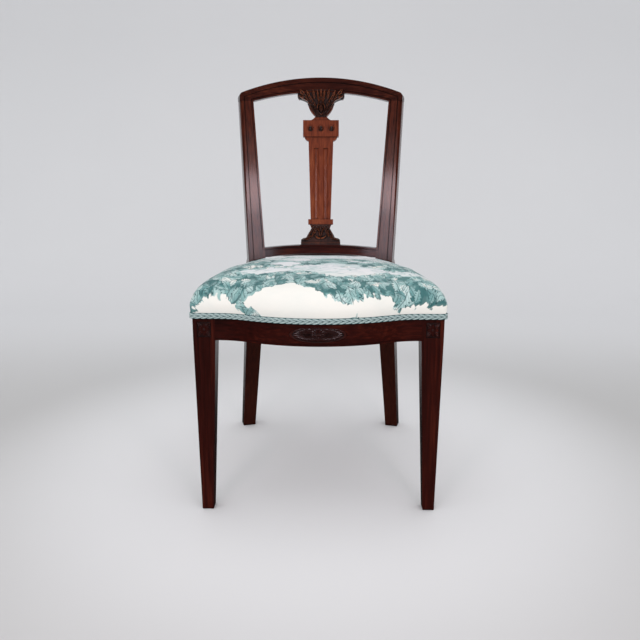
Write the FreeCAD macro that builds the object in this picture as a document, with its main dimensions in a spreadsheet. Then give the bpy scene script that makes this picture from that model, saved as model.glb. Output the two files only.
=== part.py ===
import FreeCAD, Part
import math
import os
import re
import Sketcher
from FreeCAD import Placement, Rotation, Vector

# A neoclassical side chair: square-tapered front legs, splayed rear legs that
# run up into raked stiles, a bowed open back with a fluted splat, and a
# sprung-looking seat stuffed over a serpentine front rail.
# +X is the right-hand side seen from the front, +Y runs to the back, +Z is up,
# and the origin is on the floor under the middle of the chair.

doc = FreeCAD.newDocument("SideChair")
sheet = doc.addObject("Spreadsheet::Sheet", "Sizes")

# Driving sizes, in millimetres and degrees
sizes = [
    ("front_width", 490, "across the front legs at the seat rail"),
    ("front_face", -227.5, "front faces of the front legs, from the middle of the chair"),
    ("rail_bottom", 366, "height of the lower edges of the seat rails"),
    ("rail_depth", 72, "seat rails from lower to upper edge"),
    ("rail_thick", 24, "thickness of the front and side seat rails"),
    ("leg_square", 43.5, "front leg, side of its square head"),
    ("foot_square", 23.6, "front leg, side of its foot"),
    ("foot_inset", 3.7, "front leg, foot set in from the outer faces"),
    ("foot_chamfer", 1.5, "chamfer round the feet"),
    ("panel_width", 27, "sunk panel on the head of the front leg"),
    ("panel_height", 31, "height of the sunk panel"),
    ("panel_foot", 6, "sunk panel above the rail's lower edge"),
    ("panel_depth", 1.8, "depth of the sunk panel"),
    ("petal_length", 11, "leaf of the rosette in the sunk panel"),
    ("petal_width", 6, "widest part of a leaf"),
    ("petal_rise", 1.3, "relief of the leaves"),
    ("eye_radius", 3.2, "radius of the rosette's eye"),
    ("eye_rise", 2.2, "relief of the rosette's eye"),
    ("serpentine_depth", 46, "forward bow of the front rail"),
    ("serpentine_hollow", 59, "width of the hollow at each end of the bow"),
    ("serpentine_flat", 4.5, "straight stretch of the front rail beside each leg"),
    ("oval_width", 110, "carved oval on the front rail"),
    ("oval_height", 31, "height of the carved oval"),
    ("oval_foot", 7, "carved oval above the rail's lower edge"),
    ("oval_border", 3, "sunk border of the oval"),
    ("carving_depth", 1.2, "depth of the border"),
    ("rail_bead", 3, "bead on the lower edge of the front rail"),
    ("rail_quirk", 1, "groove above the bead"),
    ("seat_length", 392, "front leg faces to rear leg front corners"),
    ("back_width", 371, "across the rear legs at the seat rail"),
    ("back_cant", 16, "turn of each stile towards the middle, degrees"),
    ("back_rake", 7.4, "backward lean of the stiles, degrees"),
    ("rear_leg_width", 43.2, "rear leg at the seat rail, from side to side"),
    ("rear_leg_depth", 38, "rear leg at the seat rail, from front to back"),
    ("rear_foot_width", 32.7, "rear foot, from side to side"),
    ("rear_foot_depth", 30, "rear foot, from front to back"),
    ("rear_foot_back", 70, "backward splay of the rear foot"),
    ("rear_foot_out", 8, "outward splay of the rear foot"),
    ("stile_start", 32, "the stile's own taper begins this far above the seat rails"),
    ("stile_low_width", 42, "stile at its start, from side to side"),
    ("stile_low_step", 7.5, "stile's outer edge at its start, inside the leg's"),
    ("stile_top_width", 34.4, "stile under the crest rail, from side to side"),
    ("stile_top_step", 0.5, "stile's outer edge under the crest rail, inside the leg's"),
    ("stile_top_depth", 24, "stile under the crest rail, from front to back"),
    ("crest_joint", 858, "height of the joint between the stiles and the crest rail"),
    ("crest_rise", 59, "highest point of the crest rail above its joint"),
    ("crest_shoulder", 18, "crest rail's top edge over its ends, above its joint"),
    ("crest_hollow", 24, "crest rail's lower edge in the middle, above its joint"),
    ("crest_thick", 24, "thickness of the crest rail"),
    ("crest_corner", 12, "radius of the crest rail's outer corners"),
    ("lower_rail_height", 23.8, "height of the lower back rail at the stiles"),
    ("lower_rail_bow", 5.9, "rise of its top edge in the middle"),
    ("lower_rail_gap", 38, "lower back rail above the seat rails, at the stiles"),
    ("lower_rail_hollow", 9, "rise of its lower edge in the middle"),
    ("lower_rail_flat", 10, "straight stretch of the lower edge beside each stile"),
    ("lower_rail_thick", 20, "thickness of the lower back rail"),
    ("lower_rail_setback", 0.5, "lower back rail behind the faces of the stiles"),
    ("moulding_outer", 10.5, "outer bead of the back's frame, from its edge to the groove"),
    ("moulding_inner", 4, "inner bead of the back's frame, from its edge to the groove"),
    ("groove_width", 2.4, "grooves between the beads and the flat"),
    ("groove_depth", 1.6, "depth of those grooves"),
    ("splat_thick", 14, "thickness of the splat's board"),
    ("splat_setback", 4, "face of the splat behind the face of the rails"),
    ("splat_fit", 3, "extra length of the splat's board, scribed away to the rails"),
    ("cap_width", 115.4, "capital of the splat, at its top"),
    ("cap_lip", 17, "capital's scrolled lip, from top to underside"),
    ("cap_shoulder_width", 65.4, "capital under its lip"),
    ("cap_shoulder", 29, "shoulder of the capital below the crest rail's lower edge"),
    ("neck_width", 27, "neck under the capital"),
    ("neck", 58.5, "neck below the crest rail's lower edge"),
    ("block_width", 90, "block of the splat"),
    ("block_height", 40.3, "height of the block"),
    ("block_top", 68.5, "top of the block below the crest rail's lower edge"),
    ("block_rise", 3, "block in front of the shaft"),
    ("stud_space", 26.5, "spacing of the three studs on the block"),
    ("stud_radius", 7, "radius of a stud"),
    ("stud_rise", 3.5, "relief of a stud"),
    ("stud_drop", 19, "studs below the top of the block"),
    ("cavetto", 10, "height of the hollow moulding under the block"),
    ("shaft_top_width", 62.6, "shaft of the splat at its top"),
    ("shaft_foot_width", 51, "shaft at its foot"),
    ("flute_width", 12.8, "width of a flute"),
    ("flute_depth", 3, "depth of a flute"),
    ("flute_space", 23.7, "spacing of the two flutes"),
    ("flute_stop", 18, "top of the flutes below the moulding"),
    ("plinth_width", 63.4, "plinth of the shaft"),
    ("plinth_height", 13.3, "height of the plinth"),
    ("plinth_foot", 51, "plinth above the lower back rail"),
    ("plinth_rise", 2, "plinth in front of the shaft"),
    ("foot_neck_width", 44, "carved foot of the splat under the plinth"),
    ("foot_waist", 35, "waist of the carved foot above the lower back rail"),
    ("foot_spread", 100, "spread of the carved foot's leaves"),
    ("foot_lip", 16, "height of the spread leaves"),
    ("tenon_thick", 10, "thickness of the tenons"),
    ("tenon_height", 46, "height of the seat rail tenons"),
    ("tenon_length", 19, "length of the seat rail tenons"),
    ("back_tenon_height", 14, "height of the tenons of the lower back rail"),
    ("stile_tenon", 10, "length of the tenons on top of the stiles"),
    ("stile_tenon_width", 18, "width of those tenons"),
    ("splat_tenon", 10, "length of the splat's tongues"),
    ("splat_tenon_width", 46, "width of the splat's tongues"),
    ("rear_rail_thick", 22, "thickness of the rear seat rail"),
    ("block_reach", 75, "corner blocks along the rails"),
    ("block_margin", 10, "corner blocks inside the edges of the rails"),
    ("screw_length", 40, "length of a corner block screw"),
    ("screw_share", 0.3, "first screw of a block along its open face, as a share"),
    ("front_side_share", 0.75, "second screw of a front block, as a share"),
    ("rear_side_share", 0.62, "second screw of a rear block, as a share"),
    ("screw_radius", 2, "radius of its shank"),
    ("screw_head", 4, "radius of its head"),
    ("screw_head_height", 2.5, "height of its head"),
    ("web_width", 50, "width of the webbing"),
    ("web_thick", 1.6, "thickness of the webbing"),
    ("web_space", 96, "spacing of the webbing that runs from front to back"),
    ("web_cross_first", 105, "first webbing from side to side, behind the front legs' faces"),
    ("web_cross_space", 100, "spacing of the webbing from side to side"),
    ("web_cross_lean", 16, "length over which a web climbs to its crossing"),
    ("hessian_thick", 1, "thickness of the hessian"),
    ("hessian_margin", 6, "hessian inside the outer faces of the rails"),
    ("seat_corner", 2, "radius of the cover's corners over the legs"),
    ("least_corner", 0.5, "least radius of those corners, in the layers under the cover"),
    ("edge_round", 5, "added to that radius where the seat is widest"),
    ("crown_round", 32, "added to it by and by towards the crown"),
    ("seat_crown", 67, "height of the seat's crown above the seat rails"),
    ("seat_peak", 20, "crown of the seat behind the middle of the chair"),
    ("seat_bulge", 6.5, "seat wider than the rails there"),
    ("seat_skirt", 2.8, "cover outside the rails at its lower edge"),
    ("skirt_drop", 28, "lower edge of the cover below the top of the seat rails"),
    ("seat_squareness", 2.5, "shape of the crown: 2 is a round arc, more is squarer"),
    ("cover_thick", 1.5, "thickness of the cover"),
    ("wadding_thick", 5, "thickness of the wadding over the stuffing"),
    ("soft_clear", 0.3, "soft pieces clear of the frame"),
    ("gimp_height", 11.5, "height of the braid"),
    ("gimp_lap", 0.5, "braid below the cover's lower edge"),
    ("gimp_thick", 2.2, "thickness of the braid"),
]
for row, (name, value, note) in enumerate(sizes, start=1):
    sheet.set(f"A{row}", note)
    sheet.set(f"B{row}", str(value))
    sheet.setAlias(f"B{row}", name)
doc.recompute()

aliasWord = re.compile(r"\b(" + "|".join(name for name, value, note in sizes) + r")\b")


# Tools of the drawing board
def named(text):
    return aliasWord.sub(r"Sizes.\1", str(text))


def size(text):
    result = sheet.evalExpression(named(text))
    return float(getattr(result, "Value", result))


def bind(piece, **expressions):
    for key, text in expressions.items():
        piece.setExpression(key.replace("_", "."), named(text))


def place(piece, x="0", y="0", z="0", turn="0", axis=Vector(0, 0, 1)):
    piece.Placement = Placement(Vector(), Rotation(axis, size(turn) or 1.0))
    for key, text in (("Base.x", x), ("Base.y", y), ("Base.z", z), ("Rotation.Angle", turn)):
        piece.setExpression(f"Placement.{key}", named(text))
    return piece


def corner(point):
    return Vector(size(point[0]), size(point[1]), 0)


def pin(sketch, geometry, end, point):
    for kind, text in zip(("DistanceX", "DistanceY"), point):
        rule = Sketcher.Constraint(kind, -1, 1, geometry, end, size(text))
        index = sketch.addConstraint(rule)
        sketch.setExpression(f"Constraints[{index}]", named(text))


# An outline is a loop of corners. A third entry marks a point on the arc
# between the corners before and after it.
def draw(sketch, outline):
    edges = []
    count = len(outline)
    for index, point in enumerate(outline):
        if len(point) == 3:
            continue
        after = outline[(index + 1) % count]
        if len(after) == 3:
            end = outline[(index + 2) % count]
            curve = Part.Arc(corner(point), corner(after), corner(end))
        else:
            curve = Part.LineSegment(corner(point), corner(after))
        edge = sketch.addGeometry(curve, False)
        first = 1 if sketch.getPoint(edge, 1).distanceToPoint(corner(point)) < 0.001 else 2
        edges.append((edge, first))
        pin(sketch, edge, first, point)
        if len(after) == 3:
            mark = sketch.addGeometry(Part.Point(corner(after)), True)
            sketch.addConstraint(Sketcher.Constraint("PointOnObject", mark, 1, edge))
            pin(sketch, mark, 1, after[:2])
    for (edge, first), (other, start) in zip(edges, edges[1:] + edges[:1]):
        sketch.addConstraint(Sketcher.Constraint("Coincident", edge, 3 - first, other, start))
    return sketch


def newBody(name):
    body = doc.addObject("PartDesign::Body", name)
    return body


def originPlane(body, role):
    return next(item for item in body.Origin.OriginFeatures if item.Role == role)


def bodySketch(body, role, name, outlines, offset="0"):
    sketch = body.newObject("Sketcher::SketchObject", name)
    sketch.AttachmentSupport = [(originPlane(body, role), "")]
    sketch.MapMode = "FlatFace"
    sketch.setExpression("AttachmentOffset.Base.z", named(offset))
    for outline in outlines:
        draw(sketch, outline)
    return sketch


def pad(body, sketch, length, backwards=False, kind="PartDesign::Pad"):
    feature = body.newObject(kind, sketch.Name + "Solid")
    feature.Profile = sketch
    feature.Reversed = backwards
    feature.setExpression("Length", named(length))
    doc.recompute()
    return feature


def pocketThrough(body, sketch):
    feature = body.newObject("PartDesign::Pocket", sketch.Name + "Cut")
    feature.Profile = sketch
    feature.Type = "ThroughAll"
    feature.SideType = "Symmetric"
    doc.recompute()
    return feature


def rectangle(left, right, low, high):
    return [(left, low), (right, low), (right, high), (left, high)]


# A sketch that lies flat at a height, or stands upright facing the front
def planSketch(name, outlines, z="0"):
    sketch = doc.addObject("Sketcher::SketchObject", name)
    for outline in outlines:
        draw(sketch, outline)
    return place(sketch, z=z)


def frontSketch(name, outlines, y="0"):
    sketch = doc.addObject("Sketcher::SketchObject", name)
    for outline in outlines:
        draw(sketch, outline)
    return place(sketch, y=y, turn="90", axis=Vector(1, 0, 0))


def extrude(sketch, length, along=("0", "0", "1")):
    feature = doc.addObject("Part::Extrusion", sketch.Name + "Solid")
    feature.Base = sketch
    feature.DirMode = "Custom"
    feature.Dir = Vector(*(size(text) for text in along))
    feature.Solid = True
    for axis, text in zip("xyz", along):
        feature.setExpression(f"Dir.{axis}", named(text))
    feature.setExpression("LengthFwd", named(length))
    return feature


def box(name, length, width, height, **where):
    feature = doc.addObject("Part::Box", name)
    bind(feature, Length=length, Width=width, Height=height)
    return place(feature, **where)


def fuse(name, pieces):
    feature = doc.addObject("Part::MultiFuse", name)
    feature.Shapes = pieces
    return feature


def common(name, pieces):
    feature = doc.addObject("Part::MultiCommon", name)
    feature.Shapes = pieces
    return feature


def cut(name, base, tools):
    feature = doc.addObject("Part::Cut", name)
    feature.Base = base
    feature.Tool = tools[0] if len(tools) == 1 else fuse(name + "_tools", tools)
    return feature


def mirror(name, source):
    feature = doc.addObject("Part::Mirroring", name)
    feature.Source = source
    feature.Base = Vector()
    feature.Normal = Vector(1, 0, 0)
    return feature


nodes = {}


def node(name, piece):
    piece.Label = name
    nodes[name] = piece
    return piece


# Shared places, written as expressions on the sizes
railTop = "(rail_bottom + rail_depth)"
legInside = "(front_width / 2 - leg_square)"
serpentineEnd = f"({legInside} - serpentine_flat)"
serpentineTurn = f"({serpentineEnd} - serpentine_hollow)"
stileStart = f"({railTop} + stile_start)"
lowerFoot = f"({railTop} + lower_rail_gap)"
lowerTop = f"({lowerFoot} + lower_rail_height)"
lowerCrown = f"({lowerTop} + lower_rail_bow)"
lowerArch = f"({lowerFoot} + lower_rail_hollow)"
crestTop = "(crest_joint + crest_rise)"
crestShoulder = "(crest_joint + crest_shoulder)"
crestUnder = "(crest_joint + crest_hollow)"
seatCrown = f"({railTop} + seat_crown)"
skirtHeight = f"({railTop} - skirt_drop)"
legBack = "(front_face + leg_square)"
backLine = "(front_face + seat_length)"


# A point of a rear leg: out is measured across its face, back along its side
def backX(out, back):
    return f"(back_width / 2 + ({out}) * cos(back_cant) + ({back}) * sin(back_cant))"


def backY(out, back):
    return f"({backLine} - ({out}) * sin(back_cant) + ({back}) * cos(back_cant))"


def stileBack(height):
    return f"((({height}) - {railTop}) * tan(back_rake))"


def stileOut(height):
    share = f"((({height}) - {stileStart}) / (crest_joint - {stileStart}))"
    return f"(-stile_low_step + (stile_low_step - stile_top_step) * {share})"


def stileIn(height):
    share = f"((({height}) - {stileStart}) / (crest_joint - {stileStart}))"
    width = f"(stile_low_width + (stile_top_width - stile_low_width) * {share})"
    return f"({stileOut(height)} - {width})"


def stileMiddle(height):
    return f"(({stileOut(height)} + {stileIn(height)}) / 2)"


# Front leg: a square head, a square taper below the rail, a sunk panel with a
# leaf rosette
def frontLegBlank():
    body = newBody("FrontLeg")
    foot = bodySketch(body, "XY_Plane", "FrontFoot", [rectangle(
        "-foot_inset - foot_square", "-foot_inset", "foot_inset", "foot_inset + foot_square")])
    head = rectangle("-leg_square", "0", "0", "leg_square")
    shoulder = bodySketch(body, "XY_Plane", "FrontShoulder", [head], "rail_bottom")
    taper = body.newObject("PartDesign::AdditiveLoft", "FrontTaper")
    taper.Profile = foot
    taper.Sections = [shoulder]
    doc.recompute()
    pad(body, bodySketch(body, "XY_Plane", "FrontHead", [head], "rail_bottom"), "rail_depth")
    panel = bodySketch(body, "XZ_Plane", "FrontPanel", [rectangle(
        "-(leg_square + panel_width) / 2", "-(leg_square - panel_width) / 2",
        "rail_bottom + panel_foot", "rail_bottom + panel_foot + panel_height")])
    pad(body, panel, "panel_depth", kind="PartDesign::Pocket")
    leaf = [("eye_radius / 2", "0"), ("petal_length / 2", "petal_width / 2", "arc"),
            ("petal_length + 1", "0"), ("petal_length / 2", "-petal_width / 2", "arc")]
    sketch = body.newObject("Sketcher::SketchObject", "FrontPetal")
    sketch.AttachmentSupport = [(originPlane(body, "XZ_Plane"), "")]
    sketch.MapMode = "FlatFace"
    sketch.setExpression("AttachmentOffset.Base.x", named("-leg_square / 2"))
    sketch.setExpression("AttachmentOffset.Base.y",
                         named("rail_bottom + panel_foot + panel_height / 2"))
    sketch.setExpression("AttachmentOffset.Base.z", named("-panel_depth"))
    draw(sketch, leaf)
    first = pad(body, sketch, "petal_rise")
    ring = body.newObject("PartDesign::PolarPattern", "FrontPetals")
    ring.Originals = [first]
    ring.Axis = (sketch, ["N_Axis"])
    ring.Angle = 360
    ring.Occurrences = 8
    body.Tip = ring
    doc.recompute()
    eye = body.newObject("PartDesign::AdditiveCylinder", "FrontEye")
    eye.AttachmentSupport = [(sketch, "")]
    eye.MapMode = "FlatFace"
    bind(eye, Radius="eye_radius", Height="eye_rise")
    doc.recompute()
    low = min(eye.Shape.Faces, key=lambda face: face.CenterOfMass.z)
    edges = [f"Edge{number}" for number, edge in enumerate(eye.Shape.Edges, start=1)
             if any(edge.isSame(other) for other in low.Edges)]
    chamfer = body.newObject("PartDesign::Chamfer", "FrontFootChamfer")
    chamfer.Base = (eye, edges)
    bind(chamfer, Size="foot_chamfer")
    doc.recompute()
    return place(body, x="front_width / 2", y="front_face")


# The moulded front of a stile: two grooves set off an outer and an inner bead.
# They are drawn on the leaning face, so heights run along the lean.
def stileGrooves(body):
    def up(height):
        return f"((({height}) - {railTop}) / cos(back_rake))"

    def strip(low, high, edge, inset):
        return [
            (f"{edge(low)} + {inset}", up(low)),
            (f"{edge(low)} + {inset} + groove_width", up(low)),
            (f"{edge(high)} + {inset} + groove_width", up(high)),
            (f"{edge(high)} + {inset}", up(high)),
        ]

    turn = f"({lowerTop} - moulding_inner)"
    outer = strip(stileStart, "crest_joint", stileOut, "(-moulding_outer - groove_width)")
    inner = strip(f"({turn} - groove_width)", "crest_joint", stileIn, "moulding_inner")
    link = [
        (f"{stileIn(turn)} - 2", up(f"({turn} - groove_width)")),
        (f"{stileIn(turn)} + moulding_inner", up(f"({turn} - groove_width)")),
        (f"{stileIn(turn)} + moulding_inner", up(turn)),
        (f"{stileIn(turn)} - 2", up(turn)),
    ]
    for name, outline in (("OuterGroove", outer), ("InnerGroove", inner), ("GrooveLink", link)):
        sketch = bodySketch(body, "XZ_Plane", name, [outline])
        lean = Rotation(Vector(1, 0, 0), -size("back_rake"))
        sketch.AttachmentOffset = Placement(Vector(), lean)
        sketch.setExpression("AttachmentOffset.Base.y", named(railTop))
        sketch.setExpression("AttachmentOffset.Rotation.Angle", named("-back_rake"))
        pad(body, sketch, "groove_depth", kind="PartDesign::Pocket")


# Rear leg and stile in one piece: drawn from the side, then tapered from the front
def rearLegBlank():
    body = newBody("RearLeg")
    topBack = stileBack("crest_joint")
    side = [
        ("rear_foot_back", "0"),
        ("rear_foot_back + rear_foot_depth", "0"),
        ("rear_leg_depth", "rail_bottom"),
        ("rear_leg_depth", railTop),
        (f"{topBack} + stile_top_depth", "crest_joint"),
        (topBack, "crest_joint"),
        ("0", railTop),
        ("0", "rail_bottom"),
    ]
    pad(body, bodySketch(body, "YZ_Plane", "RearSide", [side], "-2 * rear_leg_width"),
        "3 * rear_leg_width")
    outer = [
        ("rear_foot_out", "0"),
        ("0", "rail_bottom"),
        ("0", railTop),
        (stileOut(stileStart), stileStart),
        (stileOut("crest_joint"), "crest_joint"),
        ("rear_leg_width + 5", "crest_joint"),
        ("rear_leg_width + 5", "0"),
    ]
    inner = [
        ("rear_foot_out - rear_foot_width", "0"),
        ("-rear_leg_width", "rail_bottom"),
        (stileIn(stileStart), stileStart),
        (stileIn("crest_joint"), "crest_joint"),
        ("-2 * rear_leg_width - 5", "crest_joint"),
        ("-2 * rear_leg_width - 5", "0"),
    ]
    pocketThrough(body, bodySketch(body, "XZ_Plane", "RearFront", [outer, inner]))
    stileGrooves(body)
    return place(body, x="back_width / 2", y=backLine, turn="-back_cant")


# Front seat rail: an ogee on each side of a round bow, sawn to an even thickness
bend = f"(2 * atan(serpentine_depth / {serpentineEnd}))"
bowRadius = f"({serpentineTurn} / sin({bend}))"
hollowRadius = f"(({serpentineEnd} - {serpentineTurn}) / sin({bend}))"


# The rail's front line, or a line parallel to it on the inside
def serpentine(inside, side=1):
    bow = f"({bowRadius} - ({inside}))"
    hollow = f"({hollowRadius} + ({inside}))"
    sign = "-" if side < 0 else ""
    turnX = f"{sign}{bow} * sin({bend})"
    turnY = f"-serpentine_depth + {bowRadius} - {bow} * cos({bend})"
    halfX = f"{sign}({serpentineEnd} - {hollow} * sin({bend} / 2))"
    halfY = f"-{hollowRadius} + {hollow} * cos({bend} / 2)"
    return [(f"{sign}{serpentineEnd}", inside), (halfX, halfY, "arc"), (turnX, turnY)]


def serpentineBand(outside, inside, end):
    front = serpentine(outside, -1) + [("0", f"-serpentine_depth + ({outside})", "arc")]
    front += serpentine(outside)[::-1]
    back = serpentine(inside) + [("0", f"-serpentine_depth + ({inside})", "arc")]
    back += serpentine(inside, -1)[::-1]
    return ([(f"-({end})", outside)] + front + [(end, outside), (end, inside)]
            + back + [(f"-({end})", inside)])


def frontRailBlank():
    body = newBody("FrontRail")
    band = serpentineBand("0", "rail_thick", legInside)
    pad(body, bodySketch(body, "XY_Plane", "FrontRailPlan", [band], "rail_bottom"), "rail_depth")
    skin = serpentineBand("-1", "rail_quirk", legInside)
    quirk = bodySketch(body, "XY_Plane", "FrontRailQuirk", [skin],
                       "rail_bottom + rail_bead + rail_quirk")
    pad(body, quirk, "rail_quirk", kind="PartDesign::Pocket")
    return place(body, y="front_face")


# Side seat rail: straight, from the front leg's back to the rear leg's front
sideLean = "atan((front_width - back_width) / 2 / (seat_length - leg_square))"
sideLength = f"((seat_length - leg_square) / cos({sideLean}))"


# A point of a side rail: along it from the front leg, and in from its outer face
def sideX(along, inside):
    return f"(front_width / 2 - ({along}) * sin({sideLean}) - ({inside}) * cos({sideLean}))"


def sideY(along, inside):
    return f"({legBack} + ({along}) * cos({sideLean}) - ({inside}) * sin({sideLean}))"


def sideRailBlank():
    body = newBody("SideRail")
    plan = rectangle("-rail_thick", "0", "0", f"{sideLength} + rear_leg_depth / 2")
    pad(body, bodySketch(body, "XY_Plane", "SideRailPlan", [plan], "rail_bottom"), "rail_depth")
    return place(body, x="front_width / 2", y=legBack, turn=sideLean)


# Rear seat rail: straight between the rear legs
rearRailMiddle = backY("-rear_leg_width", "rear_leg_depth / 2")


def rearRailBlank():
    body = newBody("RearRail")
    reach = f"({backX('-rear_leg_width', 'rear_leg_depth / 2')} + tenon_thick)"
    plan = rectangle(f"-{reach}", reach, "-rear_rail_thick / 2", "rear_rail_thick / 2")
    pad(body, bodySketch(body, "XY_Plane", "RearRailPlan", [plan], "rail_bottom"), "rail_depth")
    return place(body, y=rearRailMiddle)


# A bowed rail of the back: a band sawn on an arc in plan, leaning with the stiles
def bowPlan(name, height, radius, face, reach, thick):
    centre = f"({face} - {radius})"
    rear = f"({radius} + ({thick}))"
    rearReach = f"({reach}) * {rear} / {radius}"
    plan = [
        (f"-{reach}", f"{centre} + sqrt({radius}^2 - ({reach})^2)"),
        ("0", f"{centre} + {radius}", "arc"),
        (reach, f"{centre} + sqrt({radius}^2 - ({reach})^2)"),
        (rearReach, f"{centre} + sqrt({rear}^2 - ({rearReach})^2)"),
        ("0", f"{centre} + {rear}", "arc"),
        (f"-{rearReach}", f"{centre} + sqrt({rear}^2 - ({rearReach})^2)"),
    ]
    return planSketch(name, [plan], z=height)


def leaning(sketch, rise):
    return extrude(sketch, f"({rise}) / cos(back_rake)", ("0", "tan(back_rake)", "1"))


def bowRadiusAt(height):
    return f"({backX(stileMiddle(height), stileBack(height))} / sin(back_cant))"


def bowFaceAt(height):
    middle = backY(stileMiddle(height), stileBack(height))
    return f"({middle} + {bowRadiusAt(height)} * (1 - cos(back_cant)))"


crestRadius = bowRadiusAt("crest_joint")
crestFace = bowFaceAt("crest_joint")
crestReach = backX(stileOut("crest_joint"), stileBack("crest_joint"))
crestInside = backX(stileIn("crest_joint"), stileBack("crest_joint"))
crestRise = f"({crestTop} - {crestShoulder})"
crestArc = f"(({crestReach}^2 + {crestRise}^2) / (2 * {crestRise}))"
crestHalf = f"({crestReach} + crest_thick)"


def crestEdge(inset):
    return f"{crestTop} - {crestArc} + sqrt(({crestArc} - ({inset}))^2 - {crestHalf}^2)"


def crestBlank():
    band = leaning(bowPlan("CrestPlan", "crest_joint", crestRadius, crestFace, crestReach,
                           "crest_thick"), f"{crestTop} - crest_joint + 5")
    outline = [
        (crestInside, "crest_joint"),
        (crestHalf, "crest_joint"),
        (crestHalf, crestEdge("0")),
        ("0", crestTop, "arc"),
        (f"-{crestHalf}", crestEdge("0")),
        (f"-{crestHalf}", "crest_joint"),
        (f"-{crestInside}", "crest_joint"),
        ("0", crestUnder, "arc"),
    ]
    face = extrude(frontSketch("CrestFront", [outline], backLine), crestTop, ("0", "1", "0"))
    sawn = common("CrestSawn", [band, face])
    doc.recompute()
    rounded = doc.addObject("Part::Fillet", "CrestRounded")
    rounded.Base = sawn
    radius = size("crest_corner")
    reach = size(crestReach)
    ends = [number for number, edge in enumerate(sawn.Shape.Edges, start=1)
            if edge.CenterOfMass.z > size(crestShoulder) - radius
            and abs(edge.CenterOfMass.x) > reach and edge.BoundBox.YLength > radius]
    rounded.Edges = [(number, radius, radius) for number in ends]
    return rounded


lowerRadius = bowRadiusAt(lowerFoot)
lowerFace = f"({bowFaceAt(lowerFoot)} + lower_rail_setback)"
lowerInside = backX(stileIn(lowerFoot), stileBack(lowerFoot))
lowerReach = backX(stileMiddle(lowerFoot), stileBack(lowerFoot))


def lowerRailBlank():
    band = leaning(bowPlan("LowerRailPlan", lowerFoot, lowerRadius, lowerFace,
                           lowerReach, "lower_rail_thick"),
                   f"{lowerCrown} - {lowerFoot} + 5")
    flat = f"({lowerInside} - lower_rail_flat)"
    reach = f"({lowerReach} + 10)"
    outline = [
        (flat, lowerFoot),
        (reach, lowerFoot),
        (reach, lowerTop),
        (lowerInside, lowerTop),
        ("0", lowerCrown, "arc"),
        (f"-{lowerInside}", lowerTop),
        (f"-{reach}", lowerTop),
        (f"-{reach}", lowerFoot),
        (f"-{flat}", lowerFoot),
        ("0", lowerArch, "arc"),
    ]
    face = extrude(frontSketch("LowerRailFront", [outline], backLine), crestTop,
                   ("0", "1", "0"))
    return common("LowerRailSawn", [band, face])


# The splat stands in a frame of its own: up is measured from the lower back
# rail along its lean, forward is out of its face
splatFoot = lowerCrown
splatY = (f"({bowFaceAt(lowerFoot)} + splat_setback"
          f" + ({lowerCrown} - {lowerFoot}) * tan(back_rake))")
splatTop = f"(({crestUnder} - {lowerCrown}) / cos(back_rake))"


def leanBody(body):
    return place(body, y=splatY, z=splatFoot, turn="-back_rake", axis=Vector(1, 0, 0))


def splatOutline():
    capShoulder = f"({splatTop} - cap_shoulder)"
    neck = f"({splatTop} - neck)"
    blockTop = f"({splatTop} - block_top)"
    blockFoot = f"({blockTop} - block_height)"
    shaftTop = f"({blockFoot} - cavetto)"
    right = [
        ("foot_spread / 2 - 3", "-splat_fit"),
        ("foot_spread / 2", "foot_lip / 2", "arc"),
        ("foot_spread / 2 - 6", "foot_lip"),
        ("foot_neck_width / 2 + 3", "foot_waist * 0.7", "arc"),
        ("foot_neck_width / 2", "foot_waist"),
        ("foot_neck_width / 2 + 5", "plinth_foot"),
        ("plinth_width / 2", "plinth_foot"),
        ("plinth_width / 2", "plinth_foot + plinth_height"),
        ("shaft_foot_width / 2", "plinth_foot + plinth_height"),
        ("shaft_top_width / 2", shaftTop),
        ("(shaft_top_width + block_width) / 4", f"{blockFoot} - cavetto * 0.7", "arc"),
        ("block_width / 2 - 4", f"{blockFoot} - cavetto * 0.2"),
        ("block_width / 2 - 4", blockFoot),
        ("block_width / 2", blockFoot),
        ("block_width / 2", blockTop),
        ("neck_width / 2 + 7", f"{blockTop} + 3", "arc"),
        ("neck_width / 2", neck),
        ("(neck_width + cap_shoulder_width) / 4 + 2", f"({neck} + {capShoulder}) / 2 - 3", "arc"),
        ("cap_shoulder_width / 2", capShoulder),
        ("cap_shoulder_width / 2 - 2", f"{capShoulder} + 3"),
        ("(cap_width + cap_shoulder_width) / 4 - 5", f"{splatTop} - cap_lip + 1", "arc"),
        ("cap_width / 2 - 2", f"{splatTop} - cap_lip"),
        ("cap_width / 2", f"{splatTop} - cap_lip * 0.7", "arc"),
        ("cap_width / 2 - 1", f"{splatTop} + splat_fit"),
    ]
    left = [(f"-({point[0]})",) + point[1:] for point in right[::-1]]
    return right + left


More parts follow.
